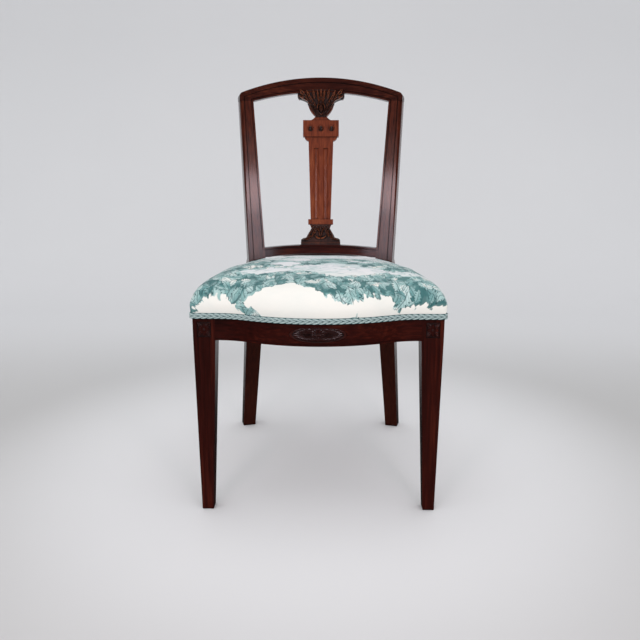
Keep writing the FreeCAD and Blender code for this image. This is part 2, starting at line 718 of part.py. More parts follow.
def splatBlank():
    body = newBody("Splat")
    board = bodySketch(body, "XZ_Plane", "SplatBoard", [splatOutline()])
    pad(body, board, "splat_thick", backwards=True)
    blockTop = f"({splatTop} - block_top)"
    blockFoot = f"({blockTop} - block_height)"
    pad(body, bodySketch(body, "XZ_Plane", "SplatBlock", [rectangle(
        "-block_width / 2", "block_width / 2", blockFoot, blockTop)]), "block_rise")
    pad(body, bodySketch(body, "XZ_Plane", "SplatPlinth", [rectangle(
        "-plinth_width / 2", "plinth_width / 2",
        "plinth_foot", "plinth_foot + plinth_height")]), "plinth_rise")
    groove = "((flute_width^2 / 4 + flute_depth^2) / (2 * flute_depth))"
    for side in ("-", ""):
        flute = body.newObject("PartDesign::SubtractiveCylinder", "SplatFlute")
        flute.AttachmentSupport = [(originPlane(body, "XY_Plane"), "")]
        flute.MapMode = "FlatFace"
        bind(flute, Radius=groove,
             Height=f"{blockFoot} - cavetto - flute_stop - plinth_foot - plinth_height",
             AttachmentOffset_Base_x=f"{side}flute_space / 2",
             AttachmentOffset_Base_y=f"flute_depth - {groove}",
             AttachmentOffset_Base_z="plinth_foot + plinth_height")
        doc.recompute()
    for place_x in ("-stud_space", "0", "stud_space"):
        stud = body.newObject("PartDesign::AdditiveCone", "SplatStud")
        stud.AttachmentSupport = [(originPlane(body, "XZ_Plane"), "")]
        stud.MapMode = "FlatFace"
        bind(stud, Radius1="stud_radius", Radius2="stud_radius - stud_rise / 2",
             Height="stud_rise", AttachmentOffset_Base_x=place_x,
             AttachmentOffset_Base_y=f"{blockTop} - stud_drop",
             AttachmentOffset_Base_z="block_rise")
        doc.recompute()
    return leanBody(body)


# Blanks, before their joints are cut
frontLeg = frontLegBlank()
rearLeg = rearLegBlank()
leftFrontLeg = mirror("FrontLegLeft", frontLeg)
leftRearLeg = mirror("RearLegLeft", rearLeg)
frontRail = frontRailBlank()
sideRail = sideRailBlank()
rearRail = rearRailBlank()
crest = crestBlank()
lowerRail = lowerRailBlank()
splat = splatBlank()
doc.recompute()


# Grooves of the bowed rails: a thin skin of the rail's face, within a band
# drawn from the front
def faceGroove(name, rail, plan, rise, outline):
    skin = leaning(bowPlan(name + "Plan", *plan), rise)
    band = extrude(frontSketch(name + "Front", [outline], backLine), crestTop, ("0", "1", "0"))
    return cut(name, rail, [common(name + "Tool", [skin, band])])


def archBand(inner, outer, foot):
    right = [(inner[0], foot), (outer[0], foot), outer[:2], ("0", outer[2], "arc")]
    left = [(f"-{outer[0]}", outer[1]), (f"-{outer[0]}", foot), (f"-{inner[0]}", foot),
            (f"-{inner[0]}", inner[1]), ("0", inner[2], "arc"), inner[:2]]
    return right + left


def crestOuterPoint(inset):
    across = f"({crestReach} - ({inset}) * cos(back_cant))"
    height = f"{crestTop} - {crestArc} + sqrt(({crestArc} - ({inset}))^2 - {across}^2)"
    return (across, height, f"{crestTop} - ({inset})")


crestUnderRise = f"({crestUnder} - crest_joint)"
crestUnderArc = f"(({crestInside}^2 + {crestUnderRise}^2) / (2 * {crestUnderRise}))"


def crestInnerPoint(inset):
    across = f"({crestInside} + ({inset}) * cos(back_cant))"
    height = f"{crestUnder} - {crestUnderArc} + sqrt(({crestUnderArc} + {inset})^2 - {across}^2)"
    return (across, height, f"{crestUnder} + {inset}")


def grooveSkin(height, radius, face, reach):
    return (height, f"({radius} - groove_width)", f"({face} - groove_width)", reach,
            "groove_width + groove_depth")


crestSkin = grooveSkin("crest_joint", crestRadius, crestFace, crestReach)
crest = faceGroove(
    "CrestOuterGroove", crest, crestSkin, f"{crestTop} - crest_joint",
    archBand(crestOuterPoint("(moulding_outer + groove_width)"),
             crestOuterPoint("moulding_outer"), "crest_joint"))
crest = faceGroove(
    "CrestInnerGroove", crest, crestSkin, f"{crestTop} - crest_joint",
    archBand(crestInnerPoint("moulding_inner"),
             crestInnerPoint("(moulding_inner + groove_width)"), "crest_joint"))


def lowerArc(inset, flip=""):
    reach = f"{flip}({lowerInside} + 1)"
    return (reach, f"{lowerTop} - ({inset})")


lowerBand = [
    lowerArc("moulding_inner + groove_width"),
    lowerArc("moulding_inner"),
    ("0", f"{lowerCrown} - moulding_inner", "arc"),
    lowerArc("moulding_inner", "-"),
    lowerArc("moulding_inner + groove_width", "-"),
    ("0", f"{lowerCrown} - moulding_inner - groove_width", "arc"),
]
lowerRail = faceGroove(
    "LowerRailGroove", lowerRail,
    grooveSkin(lowerFoot, lowerRadius, lowerFace, lowerReach),
    f"{lowerCrown} - {lowerFoot}", lowerBand)

# Carved oval in the middle of the front rail: a sunk border on its curved face
def ovalPrism(name, width, height):
    ring = doc.addObject("Part::Ellipse", name)
    bind(ring, MajorRadius=f"({width}) / 2", MinorRadius=f"({height}) / 2")
    place(ring, y="front_face - 2 * serpentine_depth", z="rail_bottom + oval_foot + oval_height / 2",
          turn="90", axis=Vector(1, 0, 0))
    return extrude(ring, "3 * serpentine_depth", ("0", "1", "0"))


railSkin = extrude(place(planSketch("RailSkin", [serpentineBand("-1", "carving_depth", legInside)]),
                         y="front_face", z="rail_bottom"), "rail_depth")
ovalRing = cut("OvalRing", ovalPrism("OvalOuter", "oval_width", "oval_height"), [
    ovalPrism("OvalInner", "oval_width - 2 * oval_border", "oval_height - 2 * oval_border")])
frontRail = cut("FrontRailCarved", frontRail, [common("OvalBorder", [ovalRing, railSkin])])

# Joints: each tenon is one solid, added to the piece that carries it and cut
# out of the piece that it enters
tenonFoot = "rail_bottom + (rail_depth - tenon_height) / 2"
frontTenon = box("FrontTenon", "2 * tenon_length", "tenon_thick", "tenon_height",
                 x=f"{legInside} - tenon_length",
                 y="front_face + (rail_thick - tenon_thick) / 2", z=tenonFoot)
sideTenonIn = "(rail_thick + tenon_thick) / 2"
sideFrontTenon = box("SideFrontTenon", "tenon_thick", "2 * tenon_length", "tenon_height",
                     x=sideX("-tenon_length", sideTenonIn), y=sideY("-tenon_length", sideTenonIn),
                     z=tenonFoot, turn=sideLean)
sideRearTenon = box("SideRearTenon", "tenon_thick", "2 * tenon_length", "tenon_height",
                    x=sideX(f"{sideLength} - tenon_length", sideTenonIn),
                    y=sideY(f"{sideLength} - tenon_length", sideTenonIn),
                    z=tenonFoot, turn=sideLean)
rearTenon = box("RearTenon", "tenon_length", "tenon_thick", "tenon_height",
                x=backX("-rear_leg_width", "0"), y=f"{rearRailMiddle} - tenon_thick / 2",
                z=tenonFoot)
stileTenonOut = f"({stileMiddle('crest_joint')} - stile_tenon_width / 2)"
stileTenonBack = f"({stileBack('crest_joint')} + (stile_top_depth - tenon_thick) / 2)"
stileTenon = box("StileTenon", "stile_tenon_width", "tenon_thick", "2 * stile_tenon",
                 x=backX(stileTenonOut, stileTenonBack), y=backY(stileTenonOut, stileTenonBack),
                 z="crest_joint - stile_tenon", turn="-back_cant")
lowerTenonArc = f"({lowerRadius} + (lower_rail_thick - tenon_thick) / 2)"
lowerTenonX = f"({lowerInside} - tenon_length / 2)"
lowerTenon = box("LowerTenon", "1.5 * tenon_length", "tenon_thick", "back_tenon_height",
                 x=lowerTenonX,
                 y=f"{lowerFace} - {lowerRadius} + sqrt({lowerTenonArc}^2 - {lowerTenonX}^2)",
                 z=f"{lowerFoot} + ({lowerTop} - {lowerFoot} - back_tenon_height) / 2",
                 turn="-back_cant")


def splatTongue(name, foot):
    tongue = box(name, "splat_tenon_width", "tenon_thick", "2 * splat_tenon")
    inset = "(splat_thick - tenon_thick) / 2"
    drop = f"({foot}) * sin(back_rake)"
    return place(tongue, x="-splat_tenon_width / 2",
                 y=f"{splatY} + {inset} * cos(back_rake) + {drop}",
                 z=f"{splatFoot} + ({foot}) * cos(back_rake) - {inset} * sin(back_rake)",
                 turn="-back_rake", axis=Vector(1, 0, 0))


lowerTongue = splatTongue("LowerTongue", "-splat_tenon")
upperTongue = splatTongue("UpperTongue", f"{splatTop} - splat_tenon")

sideRail = cut("SideRailScribed", sideRail, [frontLeg, rearLeg])
rearRail = cut("RearRailScribed", rearRail, [rearLeg, leftRearLeg])
lowerRail = cut("LowerRailScribed", lowerRail, [rearLeg, leftRearLeg])
splat = cut("SplatScribed", splat, [crest, lowerRail])

# Corner blocks: triangles scribed to the rails and the leg, each held by two
# screws
def blockBlank(name, plan):
    body = newBody(name)
    pad(body, bodySketch(body, "XY_Plane", name + "Plan", [plan], "rail_bottom + block_margin"),
        "rail_depth - 2 * block_margin")
    return body


def along(start, end, share):
    return tuple(f"({low} + ({high} - {low}) * {share})" for low, high in zip(start, end))


def screw(name, toe, sideToe, share, turn):
    body = newBody(name)
    half = [("0", "0"), ("screw_head", "0"), ("screw_head", "screw_head_height"),
            ("screw_radius", "screw_head_height"), ("screw_radius", "screw_length"),
            ("0", "screw_length")]
    sketch = bodySketch(body, "XY_Plane", name + "Half", [half])
    turned = body.newObject("PartDesign::Revolution", name + "Turned")
    turned.Profile = sketch
    turned.ReferenceAxis = (sketch, ["V_Axis"])
    turned.Angle = 360
    x, y = along(toe, sideToe, share)
    return place(body, x=x, y=y, z="rail_bottom + rail_depth / 2", turn=turn)


frontHeel = (f"({legInside} + leg_square / 2)", "(front_face + rail_thick / 2)")
frontToe = (f"({legInside} - block_reach)", "front_face")
frontSideToe = (sideX("block_reach", "rail_thick / 2"), sideY("block_reach", "rail_thick / 2"))
rearInside = backX("-rear_leg_width", "rear_leg_depth / 2")
rearHeel = (backX("-rear_leg_width / 2", "rear_leg_depth / 2"), rearRailMiddle)
rearToe = (f"({rearInside} - block_reach)", rearRailMiddle)
rearSideToe = (sideX(f"{sideLength} - block_reach", "rail_thick / 2"),
               sideY(f"{sideLength} - block_reach", "rail_thick / 2"))


# Direction of a block's open face, from its toe on the cross rail
def faceTurn(toe, sideToe):
    return f"atan(({sideToe[1]} - {toe[1]}) / ({sideToe[0]} - {toe[0]}))"


frontTurn = faceTurn(frontToe, frontSideToe)
rearTurn = faceTurn(rearToe, rearSideToe)
frontScrew = screw("FrontScrew", frontToe, frontSideToe, "screw_share", f"{frontTurn} - 180 deg")
frontSideScrew = screw("FrontSideScrew", frontToe, frontSideToe, "front_side_share",
                       f"{frontTurn} - 180 deg")
rearScrew = screw("RearScrew", rearToe, rearSideToe, "screw_share", rearTurn)
rearSideScrew = screw("RearSideScrew", rearToe, rearSideToe, "rear_side_share", rearTurn)

sideRail = fuse("SideRailTenoned", [sideRail, sideFrontTenon, sideRearTenon])
sideRailRight = node("side_seat_rail_right",
                     cut("SideSeatRailRight", sideRail, [frontSideScrew, rearSideScrew]))
frontLegRight = node("front_leg_right",
                     cut("FrontLegRight", frontLeg, [frontTenon, sideFrontTenon]))
rearLegRight = cut("RearLegMortised", rearLeg, [sideRearTenon, rearTenon, lowerTenon])
rearLegRight = node("rear_leg_right", fuse("RearLegRight", [rearLegRight, stileTenon]))
frontLegLeft = node("front_leg_left", mirror("FrontLegLeftJoined", frontLegRight))
rearLegLeft = node("rear_leg_left", mirror("RearLegLeftJoined", rearLegRight))
sideRailLeft = node("side_seat_rail_left", mirror("SideSeatRailLeft", sideRailRight))
frontRail = fuse("FrontRailTenoned", [frontRail, frontTenon, mirror("FrontTenonLeft", frontTenon)])
frontSeatRail = node("front_seat_rail", cut(
    "FrontSeatRail", frontRail, [frontScrew, mirror("FrontScrewLeft", frontScrew)]))
rearRail = fuse("RearRailTenoned", [rearRail, rearTenon, mirror("RearTenonLeft", rearTenon)])
rearSeatRail = node("rear_seat_rail", cut(
    "RearSeatRail", rearRail, [rearScrew, mirror("RearScrewLeft", rearScrew)]))
lowerBackRail = fuse("LowerRailTenoned",
                     [lowerRail, lowerTenon, mirror("LowerTenonLeft", lowerTenon)])
lowerBackRail = node("lower_back_rail", cut("LowerBackRail", lowerBackRail, [lowerTongue]))
crestRail = node("crest_rail", cut(
    "CrestRail", crest, [stileTenon, mirror("StileTenonLeft", stileTenon), upperTongue]))
splatPiece = node("splat", fuse("SplatPiece", [splat, lowerTongue, upperTongue]))

frontBlock = cut("FrontBlockScribed",
                 blockBlank("FrontBlock", [frontHeel, frontToe, frontSideToe]),
                 [frontRail, sideRail, frontLeg, frontScrew, frontSideScrew])
rearBlock = cut("RearBlockScribed", blockBlank("RearBlock", [rearHeel, rearToe, rearSideToe]),
                [rearRail, sideRail, rearLeg, rearScrew, rearSideScrew])
node("corner_block_front_right", frontBlock)
node("corner_block_rear_right", rearBlock)
node("corner_block_front_left", mirror("FrontBlockLeft", frontBlock))
node("corner_block_rear_left", mirror("RearBlockLeft", rearBlock))

screws = doc.addObject("Part::Compound", "ScrewsRight")
screws.Links = [frontScrew, frontSideScrew, rearScrew, rearSideScrew]
allScrews = doc.addObject("Part::Compound", "Screws")
allScrews.Links = [screws, mirror("ScrewsLeft", screws)]
node("corner_block_screws", allScrews)


# Webbing: strips from front to back lie flat on the rails, and strips from side
# to side pass over and under them in turn
webPlaces = (-1, 0, 1)


def lengthwiseWeb(column):
    middle = f"{column} * web_space"
    start = (f"front_face - serpentine_depth + {bowRadius} - sqrt({bowRadius}^2 - ({middle})^2)"
             " + rail_thick / 2")
    plan = rectangle(f"{middle} - web_width / 2", f"{middle} + web_width / 2", start,
                     rearRailMiddle)
    return extrude(planSketch("WebLengthwise", [plan], z=railTop), "web_thick")


def crosswiseWeb(row):
    y = f"(front_face + web_cross_first + {row} * web_cross_space)"
    run = f"(({y} + web_width - {legBack}) / cos({sideLean}))"
    end = sideX(run, "rail_thick / 2")
    line = [(f"-{end}", "0"), ("-web_space - web_width / 2 - web_cross_lean", "0")]
    for column in webPlaces:
        level = "web_thick" if (row + column) % 2 else "-web_thick"
        line.append((f"{column} * web_space - web_width / 2", level))
        line.append((f"{column} * web_space + web_width / 2", level))
    line += [("web_space + web_width / 2 + web_cross_lean", "0"), (end, "0")]
    profile = [(x, f"{railTop} + {z}") for x, z in line]
    profile += [(x, f"{railTop} + {z} + web_thick") for x, z in line[::-1]]
    return extrude(frontSketch("WebCrosswise", [profile], y=y), "web_width", ("0", "1", "0"))


def group(name, pieces):
    feature = doc.addObject("Part::Compound", name)
    feature.Links = pieces
    return feature


node("webbing_lengthwise", group("WebsLengthwise", [lengthwiseWeb(i) for i in webPlaces]))
node("webbing_crosswise", group("WebsCrosswise", [crosswiseWeb(i) for i in range(3)]))


# The seat's plan: the serpentine front, rounded corners, sides along the rails
# and a straight back. It can be grown outwards and drawn in towards its crown.
# Each point comes with the number of chords that stand for the arc through it,
# or 0 for a corner.
bowChords, hollowChords, cornerChords = 8, 3, 4


def roundCorner(before, point, after, radius):
    into = (before - point).normalize()
    out = (after - point).normalize()
    half = into.getAngle(out) / 2
    reach = radius / math.tan(half)
    middle = point + (into + out).normalize() * (radius / math.sin(half) - radius)
    return [(point + into * reach, 0), (middle, cornerChords), (point + out * reach, 0)]


def seatLoop(grow, ease):
    lean = math.radians(size(sideLean))
    front = size("front_face") - grow
    side = size("front_width") / 2 + grow
    legEnd = size(legBack)
    back = size(f"{rearRailMiddle} + rear_rail_thick / 2") + grow
    room = min(side - size(serpentineEnd), legEnd - front)
    radius = min(max(size("seat_corner") + grow, size("least_corner")) + ease, 0.95 * room)
    kink = Vector(side, legEnd + grow * (math.sin(lean) - math.tan(lean / 2) * math.cos(lean)), 0)
    heel = Vector(kink.x - (back - kink.y) * math.tan(lean), back, 0)
    shift = Vector(0, size("front_face"), 0)
    line = [(corner(point) + shift, hollowChords if len(point) == 3 else 0)
            for point in serpentine(f"(-{grow})")[::-1]]
    line += roundCorner(line[-1][0], Vector(side, front, 0), kink, radius)
    line.append((kink, 0))
    line += roundCorner(kink, heel, Vector(0, back, 0), radius)
    left = [(Vector(-point.x, point.y, 0), chords) for point, chords in line[::-1]]
    apex = Vector(0, size(f"front_face - serpentine_depth - {grow}"), 0)
    return line + left + [(apex, bowChords)]


def seatWire(grow, ease, share=1.0, height=0.0):
    peak = size("seat_peak")
    loop = [(Vector(point.x * share, peak + (point.y - peak) * share, height), chords)
            for point, chords in seatLoop(grow, ease)]
    corners = []
    count = len(loop)
    for index, (point, onArc) in enumerate(loop):
        after, chords = loop[(index + 1) % count]
        if onArc:
            continue
        if chords:
            arc = Part.Arc(point, after, loop[(index + 2) % count][0])
            corners += arc.discretize(Number=chords + 1)[:-1]
        else:
            corners.append(point)
    return Part.makePolygon(corners + corners[:1])


# A closed form through a stack of rings. Facing chords are parallel, so each
# face between two rings is plane.
def stacked(rings):
    faces = [Part.Face(rings[0]), Part.Face(rings[-1])]
    for low, high in zip(rings, rings[1:]):
        for edge, above in zip(low.Edges, high.Edges):
            points = [edge.Vertexes[0].Point, edge.Vertexes[1].Point,
                      above.Vertexes[1].Point, above.Vertexes[0].Point]
            faces.append(Part.Face(Part.makePolygon(points + points[:1])))
    shell = Part.makeShell(faces)
    shell.sewShape()
    return Part.makeSolid(shell)


crownSteps = (14, 29, 44, 59, 72, 84)


# The crowned cushion form: upright at its skirt, widest at the rails' top, then
# rounded over to the crown; inside is how far it lies within the cover
def cushionForm(inside, foot):
    skirt = size("seat_skirt") - inside
    widest = size("seat_bulge") - inside
    edge = size(railTop)
    edgeRound = size("edge_round")
    wires = [seatWire(skirt, 0, 1.0, foot),
             seatWire(skirt, 0, 1.0, size(f"{skirtHeight} + gimp_height")),
             seatWire(widest, edgeRound, 1.0, edge)]
    rise = size(seatCrown) - inside - edge
    power = 2 / size("seat_squareness")
    for step in crownSteps:
        angle = math.radians(step)
        share = math.cos(angle) ** power
        ease = edgeRound + (1 - share) * size("crown_round")
        wires.append(seatWire(widest, ease, share, edge + rise * math.sin(angle) ** power))
    return stacked(wires)


def slab(grow, low, high, ease=0):
    return Part.Face(seatWire(grow, ease, 1.0, low)).extrude(Vector(0, 0, high - low))


def formed(name, shape):
    feature = doc.addObject("Part::Feature", name)
    feature.Shape = shape
    return feature


# The soft pieces are cut round the rear legs
notch = box("StileNotch", "3 * rear_leg_width", "3 * rear_leg_depth",
            f"{stileStart} - rail_bottom",
            x=backX("-0.98 * rear_leg_width", "-soft_clear"),
            y=backY("-0.98 * rear_leg_width", "-soft_clear"),
            z="rail_bottom + 10", turn="-back_cant")
stileRoom = fuse("StileRoom", [notch, rearLeg, mirror("NotchLeft", notch), leftRearLeg, lowerRail])
doc.recompute()

hessianFoot = size(f"{railTop} + 2 * web_thick")
hessianTop = hessianFoot + size("hessian_thick")
skirtFoot = size(skirtHeight)
coverInside = size("cover_thick")
stuffingInside = coverInside + size("wadding_thick")
below = skirtFoot - size("rail_thick")
frameRoom = slab(size("soft_clear"), below, hessianTop, -size("seat_corner"))
underSkirt = slab(size("seat_bulge"), below, skirtFoot)

coverForm = cushionForm(0, skirtFoot)
waddingForm = cushionForm(coverInside, below)
stuffingForm = cushionForm(stuffingInside, below)
hessianSheet = slab(-size("hessian_margin"), hessianFoot, hessianTop)
softPieces = {
    "seat_cover": coverForm.cut(waddingForm),
    "seat_wadding": waddingForm.cut(stuffingForm.fuse(frameRoom).fuse(underSkirt)),
    "seat_stuffing": stuffingForm.cut(frameRoom),
    "hessian": hessianSheet,
}
gimpFoot = skirtFoot - size("gimp_lap")
gimpTop = gimpFoot + size("gimp_height")
braid = slab(size("seat_skirt + gimp_thick"), gimpFoot, gimpTop)
softPieces["gimp_braid"] = braid.cut(slab(size("seat_skirt"), gimpFoot, gimpTop)).cut(coverForm)
for name, shape in softPieces.items():
    whole = formed(name.title().replace("_", ""), shape)
    node(name, cut(whole.Name + "Notched", whole, [stileRoom]))
doc.recompute()

# Nothing is written unless every piece is sound
for piece in doc.Objects:
    if {"Invalid", "Error"} & set(piece.State):
        raise RuntimeError(f"{piece.Label} failed: {piece.State}")
for name, piece in nodes.items():
    if piece.Shape.isNull() or not piece.Shape.isValid() or not piece.Shape.Solids:
        raise RuntimeError(f"{name} has no sound solid")

os.makedirs("parts", exist_ok=True)
for name, piece in nodes.items():
    piece.Shape.exportStep(f"parts/{name}.step")
    print(f"{name}: {len(piece.Shape.Solids)} solid, {piece.Shape.Volume / 1000:.1f} cm3")
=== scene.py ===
import math
import bpy
import bmesh
import numpy as np
from mathutils import Matrix, Vector
from mathutils.bvhtree import BVHTree


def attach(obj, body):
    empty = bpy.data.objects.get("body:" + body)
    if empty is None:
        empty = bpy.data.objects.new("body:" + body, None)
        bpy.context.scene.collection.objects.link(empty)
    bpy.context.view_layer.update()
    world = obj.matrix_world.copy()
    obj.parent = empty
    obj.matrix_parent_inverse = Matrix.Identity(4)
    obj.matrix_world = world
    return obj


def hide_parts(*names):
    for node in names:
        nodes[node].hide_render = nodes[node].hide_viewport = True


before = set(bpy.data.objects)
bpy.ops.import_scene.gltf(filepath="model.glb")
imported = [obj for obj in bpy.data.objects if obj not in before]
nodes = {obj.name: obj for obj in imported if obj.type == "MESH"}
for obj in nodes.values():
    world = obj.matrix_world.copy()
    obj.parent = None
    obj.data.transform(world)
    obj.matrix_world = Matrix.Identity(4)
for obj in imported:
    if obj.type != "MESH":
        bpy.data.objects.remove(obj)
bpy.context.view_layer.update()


# Shader graphs
class Value:
    def __init__(self, graph, socket):
        self.graph = graph
        self.socket = socket

    def math(self, operation, *others):
        return self.graph.node("ShaderNodeMath", {"operation": operation},
                               dict(enumerate((self,) + others)))

    def __add__(self, other):
        return self.math("ADD", other)

    __radd__ = __add__

    def __sub__(self, other):
        return self.math("SUBTRACT", other)

    def __rsub__(self, other):
        return (self * -1) + other

    def __mul__(self, other):
        return self.math("MULTIPLY", other)

    __rmul__ = __mul__

    def __truediv__(self, other):
        return self.math("DIVIDE", other)

    def abs(self):
        return self.math("ABSOLUTE")

    def clamp(self):
        return self.graph.node("ShaderNodeClamp", {}, {0: self})

    def most(self, other):
        return self.math("MAXIMUM", other)

    def step(self, low, high):
        # 0 under low, 1 over high, smooth in between
        return self.graph.node("ShaderNodeMapRange", {"interpolation_type": "SMOOTHSTEP"},
                               {0: self, 1: low, 2: high, 3: 0.0, 4: 1.0})


class Graph:
    def __init__(self, name):
        self.material = bpy.data.materials.new(name)
        self.material.use_nodes = True
        self.tree = self.material.node_tree
        self.shader = self.tree.nodes["Principled BSDF"]

    def put(self, socket, value):
        if isinstance(value, Value):
            self.tree.links.new(value.socket, socket)
        elif socket.type == "RGBA":
            socket.default_value = (*value, 1)
        else:
            socket.default_value = value

    def node(self, kind, settings=None, values=None, output=0):
        made = self.tree.nodes.new(kind)
        for key, value in (settings or {}).items():
            setattr(made, key, value)
        for key, value in (values or {}).items():
            self.put(made.inputs[key], value)
        return Value(self, made.outputs[output])

    def other(self, value, output):
        return Value(self, value.socket.node.outputs[output])

    def split(self, vector):
        apart = self.node("ShaderNodeSeparateXYZ", {}, {0: vector})
        return apart, self.other(apart, 1), self.other(apart, 2)

    def apart(self, first, second):
        return self.node("ShaderNodeVectorMath", {"operation": "SUBTRACT"}, {0: first, 1: second})

    def cells(self, where, feature, spread, output):
        return self.node("ShaderNodeTexVoronoi",
                         {"feature": feature, "voronoi_dimensions": "2D"},
                         {"Vector": where, "Scale": 1.0, "Randomness": spread}, output)

    def openness(self, reach):
        return self.node("ShaderNodeAmbientOcclusion", {"samples": 6}, {"Distance": reach}, "AO")

    def mix(self, factor, first, second, blend="MIX"):
        return self.node("ShaderNodeMix", {"data_type": "RGBA", "blend_type": blend},
                         {0: factor, 6: first, 7: second}, 2)

    def ramp(self, value, stops):
        made = self.tree.nodes.new("ShaderNodeValToRGB")
        marks = made.color_ramp.elements
        while len(marks) < len(stops):
            marks.new(0.5)
        for mark, (place, colour) in zip(marks, stops):
            mark.position = place
            mark.color = (*colour, 1)
        self.put(made.inputs[0], value)
        return Value(self, made.outputs[0])

    def place(self, scale=(1, 1, 1), turn=(0, 0, 0), source=None):
        if source is None:
            source = self.node("ShaderNodeTexCoord", output="Object")
        return self.node("ShaderNodeMapping", {}, {0: source, "Rotation": turn, "Scale": scale})

    def noise(self, where, scale, detail=3.0, rough=0.5, warp=0.0):
        # a scale for each axis stretches the patches
        if isinstance(scale, tuple):
            where, scale = self.place(scale, source=where), 1.0
        return self.node("ShaderNodeTexNoise", {}, {
            "Vector": where, "Scale": scale, "Detail": detail, "Roughness": rough,
            "Distortion": warp})

    def bump(self, height, distance, strength=1.0):
        return self.node("ShaderNodeBump", {}, {
            "Height": height, "Distance": distance, "Strength": strength})

    def finish(self, colour, rough, normal=None, **constants):
        self.put(self.shader.inputs["Base Color"], colour)
        self.put(self.shader.inputs["Roughness"], rough)
        if normal is not None:
            self.put(self.shader.inputs["Normal"], normal)
        for key, value in constants.items():
            self.put(self.shader.inputs[key.replace("_", " ")], value)
        return self.material


# Wood: the grain runs along one axis of the piece
grain = dict(turn={"x": (0, math.pi / 2, 0), "y": (math.pi / 2, 0, 0), "z": (0, 0, 0)},
             figure=(9, 9, 1.2), streak=(230, 230, 9), pores=(1500, 1500, 42),
             # painted shade with wax in the recesses: how far it looks for cover, and its colour
             shadeUnderSeatBand=(0.40, 0.56), dirtAndShadeReach=0.0060, dirtAndShade=(0.0040, 0.0010, 0.0008))
redWood = dict(dark=(0.015, 0.0014, 0.0006), middle=(0.033, 0.0026, 0.0009),
               light=(0.095, 0.0125, 0.0038), rough=0.38, gloss=0.12, coat=0.70, coatRough=0.13)
stileWood = dict(dark=(0.020, 0.0028, 0.0011), middle=(0.084, 0.0130, 0.0040),
                 light=(0.150, 0.0340, 0.0115), rough=0.38, gloss=0.15, coat=0.80, coatRough=0.12)
crestWood = dict(dark=(0.014, 0.0016, 0.0008), middle=(0.044, 0.0058, 0.0020),
                 light=(0.130, 0.0250, 0.0080), rough=0.38, gloss=0.12, coat=0.60, coatRough=0.14)
brownWood = dict(dark=(0.070, 0.0120, 0.0045), middle=(0.180, 0.031, 0.0090),
                 light=(0.300, 0.070, 0.0210), rough=0.42, gloss=0.20, coat=0.55, coatRough=0.14)

# carved looks: their rubbed colour is a painted highlight with rubbed wear on the raised carving
carvedBrown = dict(dark=(0.010, 0.0024, 0.0012), middle=(0.034, 0.0068, 0.0028),
                   light=(0.085, 0.0180, 0.0070), rubbedHighlight=(0.340, 0.084, 0.0270), rough=0.30,
                   gloss=0.50, coat=1.00, coatRough=0.13)
carvedRed = dict(dark=(0.010, 0.0012, 0.0006), middle=(0.026, 0.0022, 0.0009),
                 light=(0.060, 0.0080, 0.0030), rubbedHighlight=(0.070, 0.0090, 0.0035), rough=0.30,
                 gloss=0.45, coat=1.00, coatRough=0.10)


def mahogany(name, axis, look, carved=False, shadeUnderSeat=0.0):
    graph = Graph(name)
    along = graph.place(turn=grain["turn"][axis])
    figure = graph.noise(along, grain["figure"], 3.0, 0.55, 0.6)
    streak = graph.noise(along, grain["streak"], 2.0, 0.6)
    pores = graph.noise(along, grain["pores"], 1.0, 0.5)
    tone = figure * 0.62 + streak * 0.48 - 0.05
    colour = graph.ramp(tone, [(0.33, look["dark"]), (0.50, look["middle"]), (0.72, look["light"])])
    if shadeUnderSeat:
        # painted shade: the wood is darkened below the seat, which shades the rear legs
        low = 1 - graph.split(graph.place())[2].step(*grain["shadeUnderSeatBand"])
        colour = graph.mix(low * shadeUnderSeat, colour, look["dark"])
    dash = pores.step(0.60, 0.72)
    colour = graph.mix(dash * 0.55, colour, look["dark"])
    # painted shade with wax and dust: the quirks and the cut ground of the carving are darkened
    # where they are closed in
    dirtAndShade = 1 - graph.openness(grain["dirtAndShadeReach"]).step(0.36, 0.95)
    if carved:
        hollow = graph.node("ShaderNodeAttribute", {"attribute_name": "hollow"}, output="Fac")
        dirtAndShade = dirtAndShade.most(hollow.step(0.0, 0.75))
        # painted highlight with rubbed wear: the raised carving is lightened
        rubbedHighlight = (hollow * -1).step(0.15, 0.95)
        colour = graph.mix(rubbedHighlight * 0.75, colour, look["rubbedHighlight"])
    colour = graph.mix(dirtAndShade * 0.90, colour, grain["dirtAndShade"])
    rough = look["rough"] + streak * 0.10 + dash * 0.12 + dirtAndShade * 0.25
    coat = (1 - dirtAndShade) * look["coat"]
    normal = graph.bump(streak * 0.4 - dash, 0.00005, 0.4)
    return graph.finish(colour, rough, normal, Coat_Weight=coat, Specular_IOR_Level=look["gloss"],
                        Coat_Roughness=look["coatRough"], Coat_IOR=1.5, IOR=1.5)


def beech():
    graph = Graph("Beech")
    along = graph.place()
    figure = graph.noise(along, (14, 14, 160), 3.0, 0.6, 0.3)
    fleck = graph.noise(along, (900, 900, 90), 1.0)
    colour = graph.ramp(figure, [(0.3, (0.30, 0.19, 0.10)), (0.7, (0.47, 0.33, 0.20))])
    colour = graph.mix(fleck.step(0.6, 0.7) * 0.4, colour, (0.22, 0.12, 0.06))
    return graph.finish(colour, 0.62, graph.bump(figure, 0.0001, 0.5))


def plain(name, low, high, scale, rough, depth=0.0002, **constants):
    graph = Graph(name)
    cloud = graph.noise(graph.place(), scale, 4.0, 0.6)
    colour = graph.mix(cloud, low, high)
    return graph.finish(colour, rough, graph.bump(cloud, depth, 0.6), **constants)


